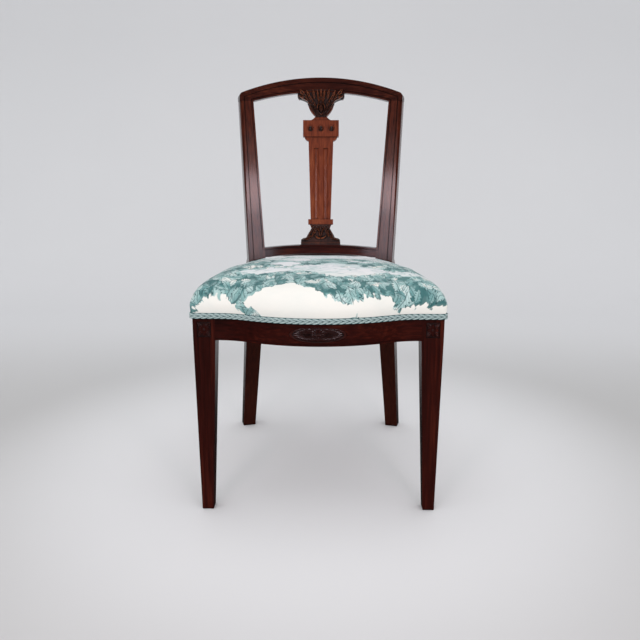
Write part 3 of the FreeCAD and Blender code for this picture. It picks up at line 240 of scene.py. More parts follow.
def woven(name, low, high, pitch, stripes=()):
    # plain weave: two sets of ridges at right angles, each hidden where it goes under
    graph = Graph(name)
    where = graph.node("ShaderNodeTexCoord", output="Object")
    x, y, _ = graph.split(where)
    rate = math.pi / pitch
    weft, warp = (x * rate).math("SINE"), (y * rate).math("SINE")
    over = (weft * warp).step(-0.15, 0.15)
    height = weft.abs() * over + warp.abs() * (1 - over)
    colour = graph.mix(height, low, high)
    dust = graph.noise(where, 240.0, 4.0, 0.7)
    colour = graph.mix(dust * 0.5, colour, low)
    for place, width, tint in stripes:
        stripe = 1 - (x.abs() - place).abs().step(width * 0.5, width * 0.6)
        colour = graph.mix(stripe, colour, tint)
    return graph.finish(colour, 0.85, graph.bump(height, 0.0003, 0.8))


materials = dict(
    upright=mahogany("MahoganyUpright", "z", redWood),
    # the stiles' wood carries painted shade below the seat
    stile=mahogany("MahoganyStile", "z", stileWood, shadeUnderSeat=0.72),
    crest=mahogany("MahoganyCrest", "x", crestWood),
    across=mahogany("MahoganyAcross", "x", redWood),
    sideways=mahogany("MahoganySideways", "y", redWood),
    carvedAcross=mahogany("MahoganyCarvedAcross", "x", carvedRed, carved=True),
    carvedUpright=mahogany("MahoganyCarvedUpright", "z", carvedRed, carved=True),
    splat=mahogany("SplatMahogany", "z", brownWood),
    splatCarved=mahogany("SplatMahoganyCarved", "z", carvedBrown, carved=True),
    beech=beech(),
    steel=plain("ScrewSteel", (0.10, 0.095, 0.09), (0.30, 0.29, 0.27), 420, 0.42, Metallic=1.0),
    webbing=woven("Webbing", (0.085, 0.060, 0.038), (0.27, 0.20, 0.125), 0.0019,
                  stripes=((0.0165, 0.003, (0.05, 0.045, 0.05)),)),
    hessian=woven("Hessian", (0.15, 0.10, 0.050), (0.50, 0.37, 0.21), 0.0016),
    wadding=plain("CottonWadding", (0.55, 0.53, 0.48), (0.80, 0.78, 0.73), 260, 0.95),
    hair=plain("Horsehair", (0.02, 0.015, 0.012), (0.07, 0.05, 0.035), 600, 0.8, 0.0008),
)
print("materials made")


# Mesh helpers
ahead, down = Vector((0, 1, 0)), Vector((0, 0, -1))


def surfaceOf(node):
    # the CAD solid's skin, to cast rays at
    mesh = nodes[node].data
    return BVHTree.FromPolygons([v.co.copy() for v in mesh.vertices],
                                [tuple(p.vertices) for p in mesh.polygons])


def spots(mesh):
    return np.array([v.co for v in mesh.vertices])


def moveTo(mesh, points):
    mesh.vertices.foreach_set("co", points.ravel())
    mesh.update()


def gridFaces(rows, columns, closed=False, start=0):
    # the quads of a grid of points, whose rows may close on themselves
    return [(start + k * columns + i, start + k * columns + (i + 1) % columns,
             start + (k + 1) * columns + (i + 1) % columns, start + (k + 1) * columns + i)
            for k in range(rows - 1) for i in range(columns if closed else columns - 1)]


def placed(name, data):
    made = bpy.data.objects.new(name, data)
    bpy.context.scene.collection.objects.link(made)
    return made


def newObject(name, points, faces, material):
    mesh = bpy.data.meshes.new(name)
    mesh.from_pydata([tuple(p) for p in points], [], faces)
    mesh.validate()
    mesh.materials.append(material)
    mesh.polygons.foreach_set("use_smooth", [True] * len(mesh.polygons))
    return placed(name, mesh)


def keep(piece, slot, *stoodFor):
    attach(piece, "root")
    if stoodFor:
        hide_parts(*stoodFor)
    return piece


def merged(node):
    # a CAD node's loose triangles joined up, for reshaping
    mesh = bmesh.new()
    mesh.from_mesh(nodes[node].data)
    bmesh.ops.remove_doubles(mesh, verts=mesh.verts, dist=0.00001)
    return mesh


def meshFrom(mesh, name, material):
    data = bpy.data.meshes.new(name)
    mesh.to_mesh(data)
    mesh.free()
    data.materials.append(material)
    return data


# angles are in degrees
easing = dict(flat=0.6, sharp=28.0, arris=40.0, shade=38.0, carved=55.0, even=90,
              round=0.0080, segments=7)


def sharpEdge(edge, least):
    if len(edge.link_faces) != 2 or not edge.is_manifold:
        return False
    return edge.calc_face_angle(0.0) > math.radians(least)


def softEdges(mesh, wanted, size, segments):
    # rounds the edges that wanted() picks
    chosen = [e for e in mesh.edges if wanted(e)]
    if chosen:
        bmesh.ops.bevel(mesh, geom=chosen, offset=size, segments=segments, profile=0.5,
                        affect="EDGES", clamp_overlap=True)


def refined(node, material, slot, size=0.0008, rounded=None, reshape=None):
    # the CAD solid again, with its sharp edges eased as a maker's glasspaper leaves them
    mesh = merged(node)
    if reshape:
        reshape(mesh)
    bmesh.ops.dissolve_limit(mesh, angle_limit=math.radians(easing["flat"]), verts=mesh.verts,
                             edges=mesh.edges)
    if rounded:
        softEdges(mesh, lambda e: sharpEdge(e, easing["arris"]) and rounded(e),
                  easing["round"], easing["segments"])
    softEdges(mesh, lambda e: sharpEdge(e, easing["sharp"]), size, 2)
    bmesh.ops.triangulate(mesh, faces=[f for f in mesh.faces if len(f.verts) > 4])
    bmesh.ops.recalc_face_normals(mesh, faces=mesh.faces)
    data = meshFrom(mesh, node + "Eased", material)
    data.polygons.foreach_set("use_smooth", [True] * len(data.polygons))
    data.set_sharp_from_angle(angle=math.radians(easing["shade"]))
    piece = placed(node + "_eased", data)
    # flats stay flat between their eased edges
    even = piece.modifiers.new("EvenShading", "WEIGHTED_NORMAL")
    even.keep_sharp = True
    even.weight = easing["even"]
    return keep(piece, slot, node)


# Frame: the arrises that are rounded over, and the lower rail's underside
arris = dict(long=0.05, above=0.55, out=0.17, crest=0.876)
underRail = dict(below=0.487, within=0.140, front=0.2011, bow=0.94, behind=0.010,
                 level=0.4730, rise=0.0030, ends=0.13)


def outerFront(edge):
    # the long arris between a stile's front and its outer side, above the seat
    a, b = (v.co for v in edge.verts)
    top, low = max(a.z, b.z), min(a.z, b.z)
    if top - low < arris["long"] or top < arris["above"]:
        return False
    front = edge.link_faces[0].normal.y < -0.5 or edge.link_faces[1].normal.y < -0.5
    outward = max(abs(f.normal.x) for f in edge.link_faces) > 0.8
    return front and outward and min(abs(a.x), abs(b.x)) > arris["out"]


def topFront(edge):
    # the arris along the top of the crest rail
    a, b = (v.co for v in edge.verts)
    front = min(f.normal.y for f in edge.link_faces) < -0.7
    up = max(f.normal.z for f in edge.link_faces) > 0.55
    return front and up and min(a.z, b.z) > arris["crest"]


def droppedBack(mesh):
    # the lower rail's underside slopes from its hollowed front arris to a level back one
    for vertex in mesh.verts:
        x, y, z = vertex.co
        behind = y - (underRail["front"] - underRail["bow"] * x * x)
        if z < underRail["below"] and abs(x) < underRail["within"] and behind > underRail["behind"]:
            vertex.co.z = (underRail["level"]
                           + underRail["rise"] * min(1, (x / underRail["ends"]) ** 2))


for start, look, size, rounded in (("front_leg_", "upright", 0.0009, None),
                                   ("rear_leg_", "stile", 0.0007, outerFront),
                                   ("side_seat_rail_", "sideways", 0.0008, None)):
    for side in ("right", "left"):
        refined(start + side, materials[look], "mahogany", size, rounded)
refined("front_seat_rail", materials["across"], "mahogany", 0.0009)
refined("rear_seat_rail", materials["across"], "mahogany")
refined("lower_back_rail", materials["across"], "mahogany", 0.0006, reshape=droppedBack)
refined("crest_rail", materials["crest"], "mahogany", 0.0007, topFront)
refined("splat", materials["splat"], "splat_mahogany", 0.0006)
for corner in ("front_right", "front_left", "rear_right", "rear_left"):
    refined("corner_block_" + corner, materials["beech"], "beech", 0.0012)
print("frame eased")

for node, look in (("corner_block_screws", "steel"), ("hessian", "hessian"),
                   ("webbing_lengthwise", "webbing"), ("webbing_crosswise", "webbing")):
    nodes[node].data.materials.clear()
    nodes[node].data.materials.append(materials[look])
print("webbing and screws painted")


# Carving, in millimetres until it is placed
def bent(points, count=44):
    # a smooth line through three points
    a, b, c = np.array(points, float)
    b = 2 * b - (a + c) / 2
    t = np.linspace(0, 1, count)[:, None]
    return (1 - t) ** 2 * a + 2 * t * (1 - t) * b + t * t * c


def leafForm(gridX, gridZ, line, width, height, lobes=0, notch=0.25, flutes=0, vein=0.35,
             lift=0.5):
    # a leaf raised along a bent line
    path = bent(line)
    gapX = gridX[..., None] - path[:, 0]
    gapZ = gridZ[..., None] - path[:, 1]
    far = gapX ** 2 + gapZ ** 2
    near = far.argmin(-1)
    t = near / (len(path) - 1)
    distance = np.sqrt(far.min(-1))
    side = np.gradient(path, axis=0)
    side /= np.linalg.norm(side, axis=1)[:, None]
    pick = np.take_along_axis
    aside = (side[near, 0] * pick(gapZ, near[..., None], -1)[..., 0]
             - side[near, 1] * pick(gapX, near[..., None], -1)[..., 0])
    half = width / 2 * np.sin(np.pi * np.clip(0.12 + 0.88 * t, 0, 1) ** 0.8) ** 0.55
    if lobes:
        half = half * (1 - notch * np.abs(np.sin(np.pi * lobes * t)) ** 3)
    u = distance / np.maximum(half, 1e-5)
    body = np.clip(1 - u * u, 0, 1) ** 0.5
    body *= 1 - vein * np.exp(-(aside / (0.10 * width)) ** 2)
    if lobes:
        body *= 0.86 + 0.14 * np.cos(2 * np.pi * (lobes * t - 0.9 * u))
    if flutes:
        body *= 0.78 + 0.22 * np.cos(np.pi * flutes * aside / np.maximum(half, 1e-5))
    return np.where(u < 1, height * (1 - lift + lift * 2 * t) * body, -1.0)


def domeForm(gridX, gridZ, centre, reach, height, ribs=0):
    u = ((gridX - centre[0]) / reach[0]) ** 2 + ((gridZ - centre[1]) / reach[1]) ** 2
    form = height * np.clip(1 - u, 0, 1) ** 0.5
    if ribs:
        angle = np.arctan2(gridX - centre[0], gridZ - centre[1])
        form *= 0.85 + 0.15 * np.cos(ribs * angle)
    return np.where(u < 1, form, -1.0)


def raised(relief, form, ground, gain=1.0):
    # the form stands on its ground, and shows where that is the highest
    return np.maximum(relief, np.where(form > 0, ground + form * gain, -1))


def blurred(field, rounds):
    for _ in range(rounds):
        padded = np.pad(field, 1, mode="edge")
        field = (padded[:-2, 1:-1] + padded[2:, 1:-1] + padded[1:-1, :-2] + padded[1:-1, 2:]
                 + 2 * field) / 6
    return field


def carvedPiece(name, gridX, gridZ, relief, spot, material, slot, thick=None, cavity=0.0009):
    # spot() gives the point in the room; a piece with a thickness has a rim and a back
    gridX, gridZ, relief = gridX / 1000, gridZ / 1000, blurred(relief / 1000, 1)
    hollow = np.clip((blurred(relief, 14) - relief) / cavity, -1, 1)
    rows, columns = gridX.shape
    points = spot(gridX, gridZ, relief).reshape(-1, 3)
    faces = gridFaces(rows, columns)
    shades = hollow.ravel()
    if thick:
        rim = ([(0, i) for i in range(columns)] + [(k, columns - 1) for k in range(1, rows)]
               + [(rows - 1, i) for i in range(columns - 2, -1, -1)]
               + [(k, 0) for k in range(rows - 2, 0, -1)])
        front = [k * columns + i for k, i in rim]
        back = list(range(len(points), len(points) + len(rim)))
        rimK, rimI = np.array(rim).T
        depth = thick / 1000 - 0.0002
        behind = spot(gridX[rimK, rimI], gridZ[rimK, rimI], np.full(len(rim), -depth))
        points = np.vstack([points, behind])
        shades = np.append(shades, np.zeros(len(rim)))
        for j in range(len(rim)):
            after = (j + 1) % len(rim)
            faces.append((front[after], front[j], back[j], back[after]))
        faces.append(tuple(back[::-1]))
    piece = newObject(name, points, faces, material)
    piece.data.attributes.new("hollow", "FLOAT", "POINT").data.foreach_set(
        "value", shades.astype(np.float32))
    piece.data.set_sharp_from_angle(angle=math.radians(easing["carved"]))
    return keep(piece, slot)


def bothSides(forms):
    # the same leaf mirrored about the middle
    return forms + [([(-x, z) for x, z in line], *rest) for line, *rest in forms]


# Splat: board face, measured on the CAD shaft
splatSkin = surfaceOf("splat")


shaft = dict(low=0.62, high=0.74)


def boardY(z):
    return splatSkin.ray_cast(Vector((0, -1, z)), ahead)[0].y


shaftY = boardY(shaft["low"])
rake = (boardY(shaft["high"]) - shaftY) / (shaft["high"] - shaft["low"])


def onBoard(x, z, height):
    # forward off the leaning board
    lean = math.atan(rake)
    return np.stack([x, shaftY + (z - shaft["low"]) * rake - height * math.cos(lean),
                     z + height * math.sin(lean)], -1)


def outlineGrid(outline, rows, columns):
    # outline: (height, half width) pairs from the foot up
    heights, halves = np.array(outline, float).T
    z = np.linspace(heights[0], heights[-1], rows)
    half = np.interp(z, heights, halves)
    s = np.linspace(-1, 1, columns)
    return s[None, :] * half[:, None], np.repeat(z[:, None], columns, 1), s


# a leaf is its line, width, height, lobes, notch, flutes and vein
capital = dict(
    outline=[(822.0, 13.8), (825, 13.6), (829, 16.0), (834, 19.5), (840, 24.0), (846, 28.2),
             (851, 31.6), (853.6, 33.6), (855.4, 32.4), (857, 33.2), (859.6, 36.0), (862, 40.5),
             (864.2, 46.0), (866.2, 53.5), (868.4, 57.8), (872, 58.9), (878, 58.6), (886, 57.6),
             (890.5, 57.2)],
    leaves=bothSides([
        ([(9, 823), (18, 836), (30, 853)], 9.0, 3.6, 0, 0.0, 3, 0.0),
        ([(7, 826), (14, 846), (25, 866)], 10.5, 5.6, 4, 0.30, 0, 0.35),
        ([(2, 848), (6, 868), (10, 888)], 8.0, 6.2, 4, 0.30, 0, 0.40),
        ([(13, 848), (27, 866), (36, 886)], 11.0, 6.4, 5, 0.30, 0, 0.35),
        ([(20, 851), (38, 864), (55, 871)], 13.0, 7.0, 3, 0.20, 0, 0.30),
        ([(34, 866), (46, 878), (53, 888)], 12.0, 7.2, 3, 0.20, 0, 0.35),
        ([(0.5, 828), (9.5, 841), (3.5, 857)], 3.6, 5.0, 0, 0.0, 0, 0.0),
        ([(17, 866), (18, 876), (21, 888)], 8.0, 6.6, 3, 0.25, 0, 0.35),
    ]) + [([(0, 852), (0, 870), (0, 889)], 8.0, 6.0, 4, 0.3, 0, 0.4)],
    thick=14.0, grid=(170, 210), bud=((0, 842.5), (6.0, 9.0), 7.5, 9),
    flare=4.6, flareFrom=846.0, flareOver=40.0, edge=0.035,
)


def buildCapital():
    gridX, gridZ, s = outlineGrid(capital["outline"], *capital["grid"])
    flare = np.clip((gridZ - capital["flareFrom"]) / capital["flareOver"], 0, 1) ** 1.6
    relief = 0.8 + flare * capital["flare"] * (1 - 0.35 * s[None, :] ** 2)
    base = relief.copy()
    for leaf in capital["leaves"]:
        relief = raised(relief, leafForm(gridX, gridZ, *leaf), base * 0.70, 1.25)
    relief = raised(relief, domeForm(gridX, gridZ, *capital["bud"]), base * 0.5)
    relief *= np.clip((1 - np.abs(s[None, :])) / capital["edge"], 0, 1) ** 0.4
    carvedPiece("splat_capital", gridX, gridZ, relief, onBoard, materials["splatCarved"],
                "splat_mahogany", capital["thick"])


foot = dict(
    outline=[(503.5, 50.3), (511.8, 50.3), (512.2, 49.0), (514, 50.2), (518.5, 49.4), (521.6, 45.0),
             (523.4, 38.0), (526, 35.2), (531, 33.0), (538, 28.6), (546, 24.0), (551.5, 21.6),
             (553.4, 24.5), (554.4, 27.5), (556.6, 27.6)],
    leaves=bothSides([
        ([(14, 554), (24, 541), (32, 526)], 8.0, 4.6, 4, 0.30, 0, 0.3),
        ([(6, 555), (15, 540), (22, 525)], 10.0, 5.4, 5, 0.30, 0, 0.4),
        ([(21, 528), (34, 521.5), (47, 517)], 8.2, 7.0, 0, 0.0, 3, 0.0),
        ([(3, 554), (6.5, 545), (2, 536)], 3.0, 4.6, 0, 0.0, 0, 0.0),
        ([(1, 521.5), (9, 523.5), (14.5, 529.5)], 5.0, 8.4, 0, 0.0, 0, 0.0),
    ]) + [([(0, 553), (0, 540), (0, 524)], 15.0, 5.2, 5, 0.28, 0, 0.45)],
    thick=14.0, grid=(140, 200), bud=((0, 546.5), (3.8, 6.2), 7.5),
    ground=0.6, base=(512.0, 2.6), collar=(553.4, 3.2),  # a height and the relief there
)


def buildFoot():
    gridX, gridZ, _ = outlineGrid(foot["outline"], *foot["grid"])
    relief = np.where(gridZ < foot["base"][0], foot["base"][1], foot["ground"])
    for leaf in foot["leaves"]:
        relief = raised(relief, leafForm(gridX, gridZ, *leaf), 0.4, 1.3)
    relief = np.maximum(relief, domeForm(gridX, gridZ, *foot["bud"]))
    relief = np.maximum(relief, np.where(gridZ > foot["collar"][0], foot["collar"][1], -1))
    carvedPiece("splat_foot", gridX, gridZ, relief, onBoard, materials["splatCarved"],
                "splat_mahogany", foot["thick"])


buildCapital()
buildFoot()


# Studs on the splat's block, each a ring round a dome
def ringFaces(rings, count):
    # rings of count points each, the last one closed by a hub point
    hub, last = rings * count, (rings - 1) * count
    return (gridFaces(rings, count, closed=True)
            + [(last + i, last + (i + 1) % count, hub) for i in range(count)])


# the profile is (radius, height) pairs from the rim in to the middle
stud = dict(space=26.5, height=794.4, round=40,
            profile=[(7.4, 2.6), (7.4, 3.6), (6.9, 4.3), (6.2, 4.3), (5.8, 3.9), (5.6, 4.0),
                     (5.2, 5.6), (4.3, 6.9), (3.0, 7.8), (1.4, 8.2)])


def buildStud(index):
    profile = stud["profile"]
    points = [(r * math.cos(a) / 1000, r * math.sin(a) / 1000, h / 1000)
              for r, h in profile
              for a in np.linspace(0, math.tau, stud["round"], endpoint=False)]
    x, z, height = np.array(points + [(0, 0, profile[-1][1] / 1000)]).T
    made = newObject(f"splat_stud_{index + 2}",
                     onBoard(x + index * stud["space"] / 1000, z + stud["height"] / 1000, height),
                     ringFaces(len(profile), stud["round"]), materials["splatCarved"])
    keep(made, "splat_mahogany")


for index in (-1, 0, 1):
    buildStud(index)


# Oval on the front rail, following its bow
railSkin = surfaceOf("front_seat_rail")
oval = dict(half=(55.0, 15.5), height=388.5, petals=22, rise=1.5, faceAt=371.5,
            # rim, ring and boss: radius, half width and relief, as shares
            rings=((0.935, 0.055, 0.55), (0.19, 0.035, 0.7), (0, 0.15, 1.5)))


def buildOval():
    reachX, reachZ = oval["half"]
    radius = np.linspace(0.0, 1.0, 64)[:, None]
    angle = np.linspace(0, math.tau, 361)[None, :]
    petal = np.abs(np.sin(angle * oval["petals"] / 2))
    run = np.clip((radius - 0.20) / 0.62, 0, 1)
    leaf = petal ** 0.7 * np.sin(np.pi * run) ** 0.5
    leaf *= 1 - 0.45 * np.exp(-((petal - 1) / 0.05) ** 2)
    short = np.abs(np.cos(angle * oval["petals"] / 2)) ** 1.4
    outer = short * np.sin(np.pi * np.clip((radius - 0.46) / 0.40, 0, 1)) ** 0.6 * 0.85
    turned = [np.clip(1 - ((radius - place) / wide) ** 2, 0, 1) ** 0.5 * height
              for place, wide, height in oval["rings"]]
    relief = np.maximum.reduce(np.broadcast_arrays(leaf, outer, *turned))
    relief = oval["rise"] * relief + 0.05
    relief[-1] = -0.4
    columns = np.linspace(-reachX - 1, reachX + 1, 80)
    face = [railSkin.ray_cast(Vector((x / 1000, -1, oval["faceAt"] / 1000)), ahead)[0].y
            for x in columns]

    def onRail(x, z, height):
        return np.stack([x, np.interp(x * 1000, columns, face) - height,
                         z + oval["height"] / 1000], -1)
    carvedPiece("front_rail_oval", reachX * radius * np.sin(angle),
                reachZ * radius * np.cos(angle), relief, onRail, materials["carvedAcross"],
                "mahogany", cavity=0.00035)


buildOval()


# Leaf rosette in the sunk panel on each front leg's head
rosette = dict(middle=223.25, height=387.5, half=(13.6, 15.6), ground=-225.7,
               boss=((0, 0), (3.6, 3.6), 2.7, 8),
               # the ways that the leaves point, one leaf's line, and its form
               leaves=((((-1, -1), (-1, 1), (1, -1), (1, 1)),
                        ((2, 2.2), (7.5, 7.4), (12.4, 14.0)), (9.5, 1.9, 4, 0.3, 0, 0.5, 0.2)),
                       (((1, 0), (-1, 0), (0, 1), (0, -1)),
                        ((2, 2), (6, 7), (11.2, 13.0)), (5.0, 1.5, 0, 0, 0, 0.4, 0.1))))


def buildRosette(side):
    halfX, halfZ = rosette["half"]
    gridX, gridZ = np.meshgrid(np.linspace(-halfX, halfX, 90), np.linspace(-halfZ, halfZ, 100))
    relief = np.full_like(gridX, 0.05)
    for ways, line, form in rosette["leaves"]:
        for wayX, wayZ in ways:
            pointed = [(x * wayX, z * wayZ) for x, z in line]
            relief = np.maximum(relief, leafForm(gridX, gridZ, pointed, *form))
    relief = np.maximum(relief, domeForm(gridX, gridZ, *rosette["boss"]))

    def onLeg(x, z, height):
        return np.stack([x + side * rosette["middle"] / 1000, rosette["ground"] / 1000 - height,
                         z + rosette["height"] / 1000], -1)
    carvedPiece("leg_rosette_" + ("right" if side > 0 else "left"), gridX, gridZ, relief,
                onLeg, materials["carvedUpright"], "mahogany", cavity=0.0004)


buildRosette(1)
buildRosette(-1)
print("carving done")


# Print on the seat's cloth: leaves in teal on cream, drawn with veins and ink outlines
cloth = dict(cream=(0.88, 0.865, 0.80), lilac=(0.74, 0.755, 0.79),
             pale=(0.52, 0.68, 0.66), light=(0.30, 0.50, 0.48), middle=(0.135, 0.32, 0.315),
             dark=(0.035, 0.15, 0.15), ink=(0.010, 0.062, 0.068))
# places are in metres from the middle of the chair, and pairs are where a band fades out
growth = dict(front=0.214, frontBand=(0.022, 0.042), behind=0.105, behindBand=(0.022, 0.060),
              sides=(0.155, 0.205), tufts=(0.545, 0.62), topFrom=0.235, topFade=0.09,
              clumps=(19.0, 24.0, 19.0), thread=0.00042,
              layers=((21.0, (0.3, 0.7, 0), 0.50), (27.0, (3.1, 5.2, 0), 0.62),
                      (36.0, (7.7, 1.9, 0), 0.76), (52.0, (2.2, 9.4, 0), 0.92)))
spray = dict(length=0.50, width=0.27, teeth=7.0)  # a leaf, in cells of the scatter


def leaves(graph, where, rate, seed):
    # one layer of scattered leaves: how far inside one, along, across and a drawn tone
    shifted = graph.node("ShaderNodeMapping", {}, {0: where, "Location": seed,
                                                   "Scale": (rate, rate, rate)})
    cells = graph.cells(shifted, "F1", 0.80, "Position")
    drawn = graph.node("ShaderNodeSeparateColor", {}, {0: graph.other(cells, "Color")})
    angle, size, tone = drawn * 6.2832, graph.other(drawn, 1), graph.other(drawn, 2)
    x, y, _ = graph.split(graph.apart(shifted, cells))
    cosine, sine = angle.math("COSINE"), angle.math("SINE")
    grown = size * 0.35 + 0.85
    along = (x * cosine + y * sine) / (grown * spray["length"])
    across = (y * cosine - x * sine) / (grown * spray["width"])
    across = across - along * along * 0.30 + 0.08
    tooth = ((along * spray["teeth"] * 0.5 + across.abs() * 1.3).math("FRACT") - 0.5) * 0.55
    taper = (1 - along * along).clamp()
    rim = taper * (1.0 - along * 0.35) + tooth * taper
    return rim - across.abs(), along, across, tone


def printedCotton():
    graph = Graph("PrintedCotton")
    flat = graph.node("ShaderNodeUVMap", {"uv_map": "Print"})
    stirred, wander = [graph.mix(share, flat, graph.other(graph.noise(flat, *look), "Color"),
                                 "LINEAR_LIGHT")
                       for share, look in ((0.006, (14.0, 2.0, 0.5)), (0.020, (6.0, 3.0, 0.6)))]
    x, y, _ = graph.split(flat)
    blot = graph.noise(flat, 8.5, 3.0, 0.6, 0.3)
    drift = graph.noise(graph.place((1.0, 2.3, 1.0), source=flat), 8.0, 4.0, 0.60, 0.25)
    ragged = graph.noise(flat, 55.0, 2.0, 0.6)

    # garland along the front, lighter growth behind it
    swing = (x * 15.0 + 0.9).math("SINE") * 0.014 + (x * 37.0).math("SINE") * 0.007
    front = (y + growth["front"] + swing + (blot - 0.5) * 0.06 + (ragged - 0.5) * 0.03).abs()
    garland = 1 - front.step(*growth["frontBand"])
    second = (y + growth["behind"] - swing * 1.6 + (blot - 0.5) * 0.12
              + (ragged - 0.5) * 0.03).abs()
    behind = (1 - second.step(*growth["behindBand"])) * drift.step(0.34, 0.46) * 0.85
    sides = (x.abs() + y * 0.35).step(*growth["sides"]) * blot.step(0.40, 0.52) * 0.95
    tufts = blot.step(*growth["tufts"]) * 0.85
    cover = garland.most(behind).most(sides).most(tufts)

    # washes and level strokes on the ground
    top = (y + growth["topFrom"]).step(0.0, growth["topFade"])
    ground = graph.mix(top * 0.75, cloth["cream"], cloth["lilac"])
    wash = drift.step(0.44, 0.62)
    colour = graph.mix(wash * (0.10 + top * 0.42), ground, cloth["pale"])
    level = graph.noise(wander, (7.0, 46.0, 1.0), 3.0, 0.6, 0.4)
    contour = ((level * 9.0).math("FRACT") - 0.5).abs()
    line = 1 - contour.step(0.05, 0.13)
    colour = graph.mix(line * top * drift.step(0.34, 0.50) * 0.85, colour, cloth["middle"])
    patch = level.step(0.52, 0.60) * top * drift.step(0.45, 0.60)
    colour = graph.mix(patch * 0.55, colour, cloth["light"])

    # rounded clumps, pale above and dark below
    clumps = graph.node("ShaderNodeMapping", {}, {0: stirred, "Scale": growth["clumps"]})
    mound = graph.cells(clumps, "F1", 0.9, "Position")
    seams = graph.cells(clumps, "DISTANCE_TO_EDGE", 0.9, "Distance")
    aside, up, _ = graph.split(graph.apart(clumps, mound))
    lit = (up * 1.1 - aside * 0.5 + 0.5).clamp() * seams.step(0.0, 0.16)

    # shade that the leaves lie on
    shade = (cover + (drift - 0.5) * 0.5 + (ragged - 0.5) * 0.5).step(0.42, 0.60)
    under = graph.ramp(lit, [(0.0, cloth["dark"]), (0.30, cloth["middle"]), (0.60, cloth["light"]),
                             (0.95, cloth["pale"])])
    colour = graph.mix(shade * 0.95, colour, under)
    deep = (cover + (drift - 0.5) * 1.2 + (ragged - 0.5) * 0.7).step(0.74, 0.92)
    colour = graph.mix(deep * 0.85, colour, cloth["dark"])
    for rate, seed, cut in growth["layers"]:
        inside, along, across, tone = leaves(graph, stirred, rate, seed)
        shown = inside.step(0.0, 0.06) * (cover + tone * 0.30).step(cut, cut + 0.06)
        fill = graph.ramp(tone * 0.62 + lit * 0.50 + 0.06,
                          [(0.10, cloth["dark"]), (0.32, cloth["middle"]), (0.55, cloth["light"]),
                           (0.76, cloth["pale"]), (0.98, cloth["cream"])])
        light = (across * 0.7 + along * 0.3).step(-0.4, 0.7)
        fill = graph.mix(light * 0.45, fill, cloth["pale"])
        vein = 1 - across.abs().step(0.04, 0.13)
        rib = ((along * 3.5 - across.abs() * 1.3).math("FRACT") - 0.5).abs().step(0.38, 0.47)
        edge = 1 - inside.step(0.08, 0.20)
        drawn = edge.most(vein * 0.75).most(rib * 0.50)
        colour = graph.mix(shown, colour, graph.mix(drawn * 0.92, fill, cloth["ink"]))
    rate = math.pi / growth["thread"]
    weave = (x * rate).math("SINE") * (y * rate).math("SINE")
    slub = graph.noise(flat, 420.0, 2.0)
    normal = graph.bump(weave * 0.5 + slub, 0.00012, 0.35)
    return graph.finish(colour, 0.80, normal, Sheen_Weight=0.12, Sheen_Roughness=0.5)


materials["cotton"] = printedCotton()


# Seat: the cover's skin read from the CAD shape, then stretched over its stuffing
seat = dict(round=360, wallRings=9, topRings=32,  # grid of the skin
            look=1441, cornerShare=0.06,  # how finely its outline is read
            middle=(0.0, -0.036), foot=0.4102, edge=0.438, cover=0.0015,
            outside=0.6, above=0.7, crowded=0.8)  # where rays start, rings closer outwards
# how far the pad sits lower and is worn down, and where: back and behind run from one
# place to another, and over is the middle and the spread of a soft ridge
sag = dict(depth=0.0110, shoulder=0.0045, back=(-0.10, 0.05), half=0.23, high=0.05,
           over=(0.205, 0.030), behind=(-0.16, -0.06))
wear = dict(depth=0.0055, flank=0.0055, back=(-0.05, 0.10), half=0.19, high=0.030,
            over=(0.115, 0.035), coarsest=0.018)
stretch = dict(frames=20, held=0.010, slack=0.985, take=0.20, most=0.022)
cotton = dict(quality=5, mass=0.01, tension_stiffness=15, compression_stiffness=15,
              shear_stiffness=6, bending_stiffness=0.6, air_damping=4, use_pressure=True,
              uniform_pressure_force=4.0, vertex_group_mass="Tacked")


def seatSkin():
    skin = surfaceOf("seat_cover")
    centre = Vector((*seat["middle"], 0))

    def reachAt(angle, height):
        way = Vector((math.cos(angle), math.sin(angle), 0))
        start = centre + way * seat["outside"] + Vector((0, 0, height))
        return (skin.ray_cast(start, -way)[0] - centre).xy.length

    # more points where the outline turns
    fine = np.linspace(0, math.tau, seat["look"])
    reach = np.array([reachAt(a, seat["edge"]) for a in fine])
    path = np.stack([np.cos(fine) * reach, np.sin(fine) * reach], 1)
    heading = np.unwrap(np.arctan2(*np.diff(path, axis=0).T[::-1]))
    bends = np.convolve(np.abs(np.gradient(heading)), np.ones(7) / 7, "same")
    run = np.linalg.norm(np.diff(path, axis=0), axis=1) + seat["cornerShare"] * bends
    run = np.concatenate([[0], np.cumsum(run)])
    turns = np.interp(np.linspace(0, run[-1], seat["round"], endpoint=False), run, fine)

    rings = []
    for k in range(seat["wallRings"]):
        height = seat["foot"] + (seat["edge"] - seat["foot"]) * k / (seat["wallRings"] - 1)
        rings.append([(reachAt(a, height), height) for a in turns])
    wall = rings[-1]
    for k in range(seat["topRings"]):
        share = 1 - (k + 0.35) / seat["topRings"]
        share = max(share, 0.5) ** seat["crowded"] * min(1, share / 0.5)
        ring = []
        for a, (reach, _) in zip(turns, wall):
            r = reach * share
            spot = centre + Vector((math.cos(a) * r, math.sin(a) * r, seat["above"]))
            hit = skin.ray_cast(spot, down)[0]
            if hit is None or hit.z < seat["edge"]:
                hit = Vector((0, 0, seat["edge"]))
            ring.append((r, hit.z))
        rings.append(ring)
    return np.array([[(centre.x + math.cos(a) * r, centre.y + math.sin(a) * r, z)
                      for a, (r, z) in zip(turns, ring)] for ring in rings])


